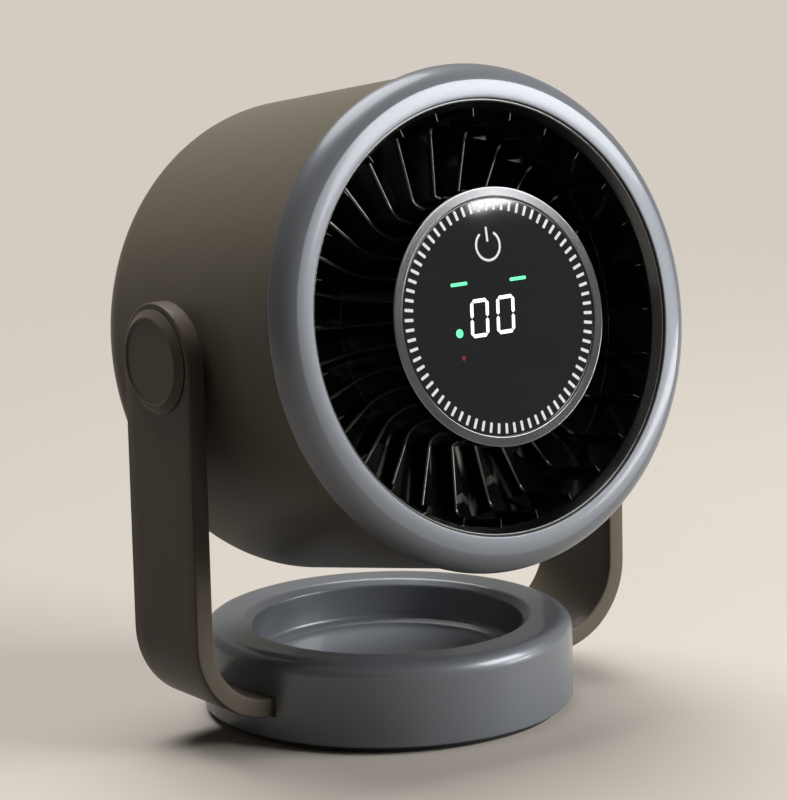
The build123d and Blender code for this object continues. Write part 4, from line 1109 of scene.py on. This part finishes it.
class FAN_OT_rear(bpy.types.Operator):
    """Rear grille with leaning slats, its centre cap, and the power button"""

    bl_idname = "fan.rear"
    bl_label = "Rear"

    def execute(self, context):
        self.grille(context.scene.fan_sizes.slat_count)
        self.button()
        for look, nodes in {
            "grille plastic": ["rear_cap"],
            "black screws": ["grille_screws"],
            "circuit board": ["rear_board", "control_board"],
            "black nylon": ["button_switch", "battery_tray"],
            "steel": ["charging_socket", "motor_bearings"],
            "battery wrap": ["battery_cells"],
            "cast metal": ["motor_mount"],
            "laminations": ["motor_stator"],
            "copper wire": ["motor_coils"],
        }.items():
            dress(look, *nodes)
        return {"FINISHED"}

    @staticmethod
    def grille(number):
        """A rim and a cup with straight slats between them, set off from the radius so that they lean."""
        outer, inner, flange, front, step = 63.6, 61.4, 73.2, -41.2, -43.0
        rim = rounded([
            (outer, HEAD_BACK, 0.6), (inner, HEAD_BACK, 0.6), (inner, front), (flange, front),
            (flange, step), (outer, step),
        ], 4, 0.1)
        pod, cup_front, cup_floor = 21.5, -39.5, -41.0
        cup = rounded([
            (0, cup_front), (pod - 1.5, cup_front, 1.0), (pod, cup_floor, 0.8), (pod, HEAD_BACK, 0.4),
            (pod - 2, HEAD_BACK), (pod - 2, step), (pod - 4, step), (pod - 4, cup_floor),
            (0, cup_floor),
        ], 4, 0.1)
        low, high, slat_front = 9.25, 10.75, HEAD_BACK + 3
        section = rounded([
            (low, HEAD_BACK, 0.5), (high, HEAD_BACK, 0.5), (high, slat_front, 0.3), (low, slat_front, 0.3),
        ], 3, 0.0)
        near, far = pod - 3.1, inner + 0.2
        slat = [np.column_stack([np.full(len(section), x), section]) for x in np.linspace(near, far, 6)]
        shells = [turned(rim, 168), turned(cup, 96), *around(bar(np.stack(slat)), number)]
        head_piece("intake_grille", shells, "grille plastic", "rear_grille")

    @staticmethod
    def button():
        """Push button: a dished face, a collar that holds it in its cap, and a stem."""
        radius, collar, stem, height = 5.0, 6.3, 2.0, 7.5
        face, collar_back, collar_front, stem_front = -53.7, -50.1, -49.3, -47.3
        outline = rounded([
            (0, face), (2.4, face - 0.05), (4.6, face - 0.3, 0.5), (radius, face - 0.1, 0.2),
            (radius, collar_back), (collar, collar_back), (collar, collar_front),
            (stem, collar_front), (stem, stem_front), (0, stem_front),
        ], 4, 0.05)
        shells = moved([turned(outline, 72)], lambda points: points + [0, height, 0])
        head_piece("push_button", shells, "button paint", "power_button", body="button")


# ---- Studio ----

# Shares of the floor's colour: the world as it is seen, the light that the floor sends up, and the
# world's own light.
WORLD_SHARE, BOUNCE_SHARE, AMBIENT_SHARE = 0.45, 0.08, 0.07


class FAN_OT_studio(bpy.types.Operator):
    """Pale floor and background, soft lamps, and the camera"""

    bl_idname = "fan.studio"
    bl_label = "Studio"

    def execute(self, context):
        tone = context.scene.fan_colours.floor
        self.floor(tone)
        self.world(tone)
        self.lamp("top light", "SUN", (0.12, 0.42, 1.0), (0, 0, 0), energy=2.6, angle=radians(45.0))
        for name, place, target, width, height, power in (
            ("key light", (1.35, -1.5, 0.98), (0, 0, 0.12), 1.2, 0.8, 43.0),
            ("low light", (1.52, -1.3, 0.1), (0, 0, 0.09), 0.7, 0.16, 8.0),
            ("small light", (1.22, -1.62, 0.484), (0, -0.09, 0.175), 0.052, 0.015, 0.11),
        ):
            self.lamp(name, "AREA", place, target, shape="RECTANGLE", size=width, size_y=height, energy=power)
        self.camera((-0.6555, -0.9095, 0.3355), azimuth=-35.974, elevation=11.636, roll=-1.289)
        context.scene.view_settings.view_transform = "Standard"
        return {"FINISHED"}

    @staticmethod
    def floor(tone):
        """Round floor disc: (r cos t, r sin t, 0). Near the object it is lit and keeps the shadow. Further
        out it fades to the even colour of a backdrop, and far off to the world's. It sends little light
        up."""
        reach, lit_to, even_from, even_to, dim_from, thickness = 9.0, 0.4, 1.0, 3.5, 8.0, 0.005
        made = Finish("floor", Roughness=0.9, Specular_IOR_Level=0.0, Emission_Strength=1.0)
        place = made.place()
        paper = made.noise(place, 9.0, 3.0)
        far = made.node("ShaderNodeVectorMath", {"operation": "LENGTH"}, {0: place}, "Value") / reach

        def ramp(*stops):
            stops = [(distance / reach, (*colour, 1)) for distance, colour in stops]
            return made.node("ShaderNodeValToRGB", {"stops": stops}, {"Fac": far})

        black, even, dim = (0, 0, 0), tuple(tone), shade(tone, WORLD_SHARE)
        lit = ramp((lit_to, even), (even_from, black))
        backdrop = ramp((lit_to, black), (even_from, even), (even_to, even), (dim_from, dim))
        grain = made.blend(1.0, lit, made.blend(paper, (0.98, 0.98, 0.98), (1.0, 1.0, 1.0)), "MULTIPLY")
        seen = made.seen()
        made.feed(
            Base_Color=made.blend(seen, shade(tone, BOUNCE_SHARE), grain),
            Emission_Color=made.blend(seen, black, backdrop),
        )
        edge, low = reach / MM, -thickness / MM
        outline = np.array([(0.0, low), (edge, low), (edge, 0.0), (0.0, 0.0)])
        model("floor", [turned(outline, 96)], made.material)

    @staticmethod
    def world(tone):
        """Even, weak light all round. The background looks pale to the camera, in metal and through glass."""
        world = bpy.data.worlds.new("studio")
        bpy.context.scene.world = world
        world.use_nodes = True
        nodes = Nodes(world.node_tree)
        colour = nodes.blend(nodes.seen(), shade(tone, AMBIENT_SHARE), shade(tone, WORLD_SHARE))
        background = nodes.node("ShaderNodeBackground", {}, {"Color": colour})
        output = nodes.tree.nodes.new("ShaderNodeOutputWorld")
        nodes.tree.links.new(background.socket, output.inputs["Surface"])

    @staticmethod
    def lamp(name, kind, place, target, **settings):
        """Lamp at a place that shines towards a target."""
        light = bpy.data.lights.new(name, kind)
        for setting, value in settings.items():
            setattr(light, setting, value)
        holder = bpy.data.objects.new(name, light)
        holder.location = place
        holder.rotation_euler = (Vector(target) - Vector(place)).to_track_quat("-Z", "Y").to_euler()
        bpy.context.scene.collection.objects.link(holder)

    @staticmethod
    def camera(place, azimuth, elevation, roll):
        """Camera at the photograph's distance, direction and slight roll. It looks against the vector
        (sin a cos e, -cos a cos e, sin e), and right and up are turned about it by the roll."""
        azimuth, elevation, roll = radians(azimuth), radians(elevation), radians(roll)
        back = Vector((sin(azimuth) * cos(elevation), -cos(azimuth) * cos(elevation), sin(elevation)))
        right = Vector((cos(azimuth), sin(azimuth), 0))
        up = back.cross(right)
        rolled_right, rolled_up = cos(roll) * right + sin(roll) * up, cos(roll) * up - sin(roll) * right
        view = bpy.data.cameras.new("camera")
        view.sensor_width, view.lens, view.clip_end = 36.0, 153.5, 50.0
        holder = bpy.data.objects.new("camera", view)
        turn = Matrix((rolled_right, rolled_up, back)).transposed().to_4x4()
        holder.matrix_world = Matrix.Translation(place) @ turn
        bpy.context.scene.collection.objects.link(holder)
        bpy.context.scene.camera = holder


# ---- Panel and running ----

OPERATORS = (
    FAN_OT_base, FAN_OT_yoke, FAN_OT_pivots, FAN_OT_barrel, FAN_OT_bezel, FAN_OT_duct,
    FAN_OT_display, FAN_OT_impeller, FAN_OT_rear, FAN_OT_studio,
)


class FAN_PT_panel(bpy.types.Panel):
    """Lists the fan's operators and settings"""

    bl_idname = "FAN_PT_panel"
    bl_label = "Air circulator fan"
    bl_space_type = "VIEW_3D"
    bl_region_type = "UI"
    bl_category = "Fan"

    def draw(self, context):
        for operator in OPERATORS:
            self.layout.operator(operator.bl_idname)
        for group in (context.scene.fan_sizes, context.scene.fan_colours):
            for name in group.__annotations__:
                self.layout.prop(group, name)


def register():
    """Registers the settings, operators and panel."""
    for group in (FanSizes, FanColours, *OPERATORS, FAN_PT_panel):
        bpy.utils.register_class(group)
    bpy.types.Scene.fan_sizes = PointerProperty(type=FanSizes)
    bpy.types.Scene.fan_colours = PointerProperty(type=FanColours)


def unregister():
    """Takes them away again."""
    del bpy.types.Scene.fan_sizes, bpy.types.Scene.fan_colours
    for group in reversed((FanSizes, FanColours, *OPERATORS, FAN_PT_panel)):
        bpy.utils.unregister_class(group)


def main():
    """Builds everything."""
    register()
    for operator in OPERATORS:
        group, name = operator.bl_idname.split(".")
        if getattr(getattr(bpy.ops, group), name)() != {"FINISHED"}:
            raise RuntimeError(f"{operator.bl_idname} did not finish")


if __name__ == "__main__":
    main()
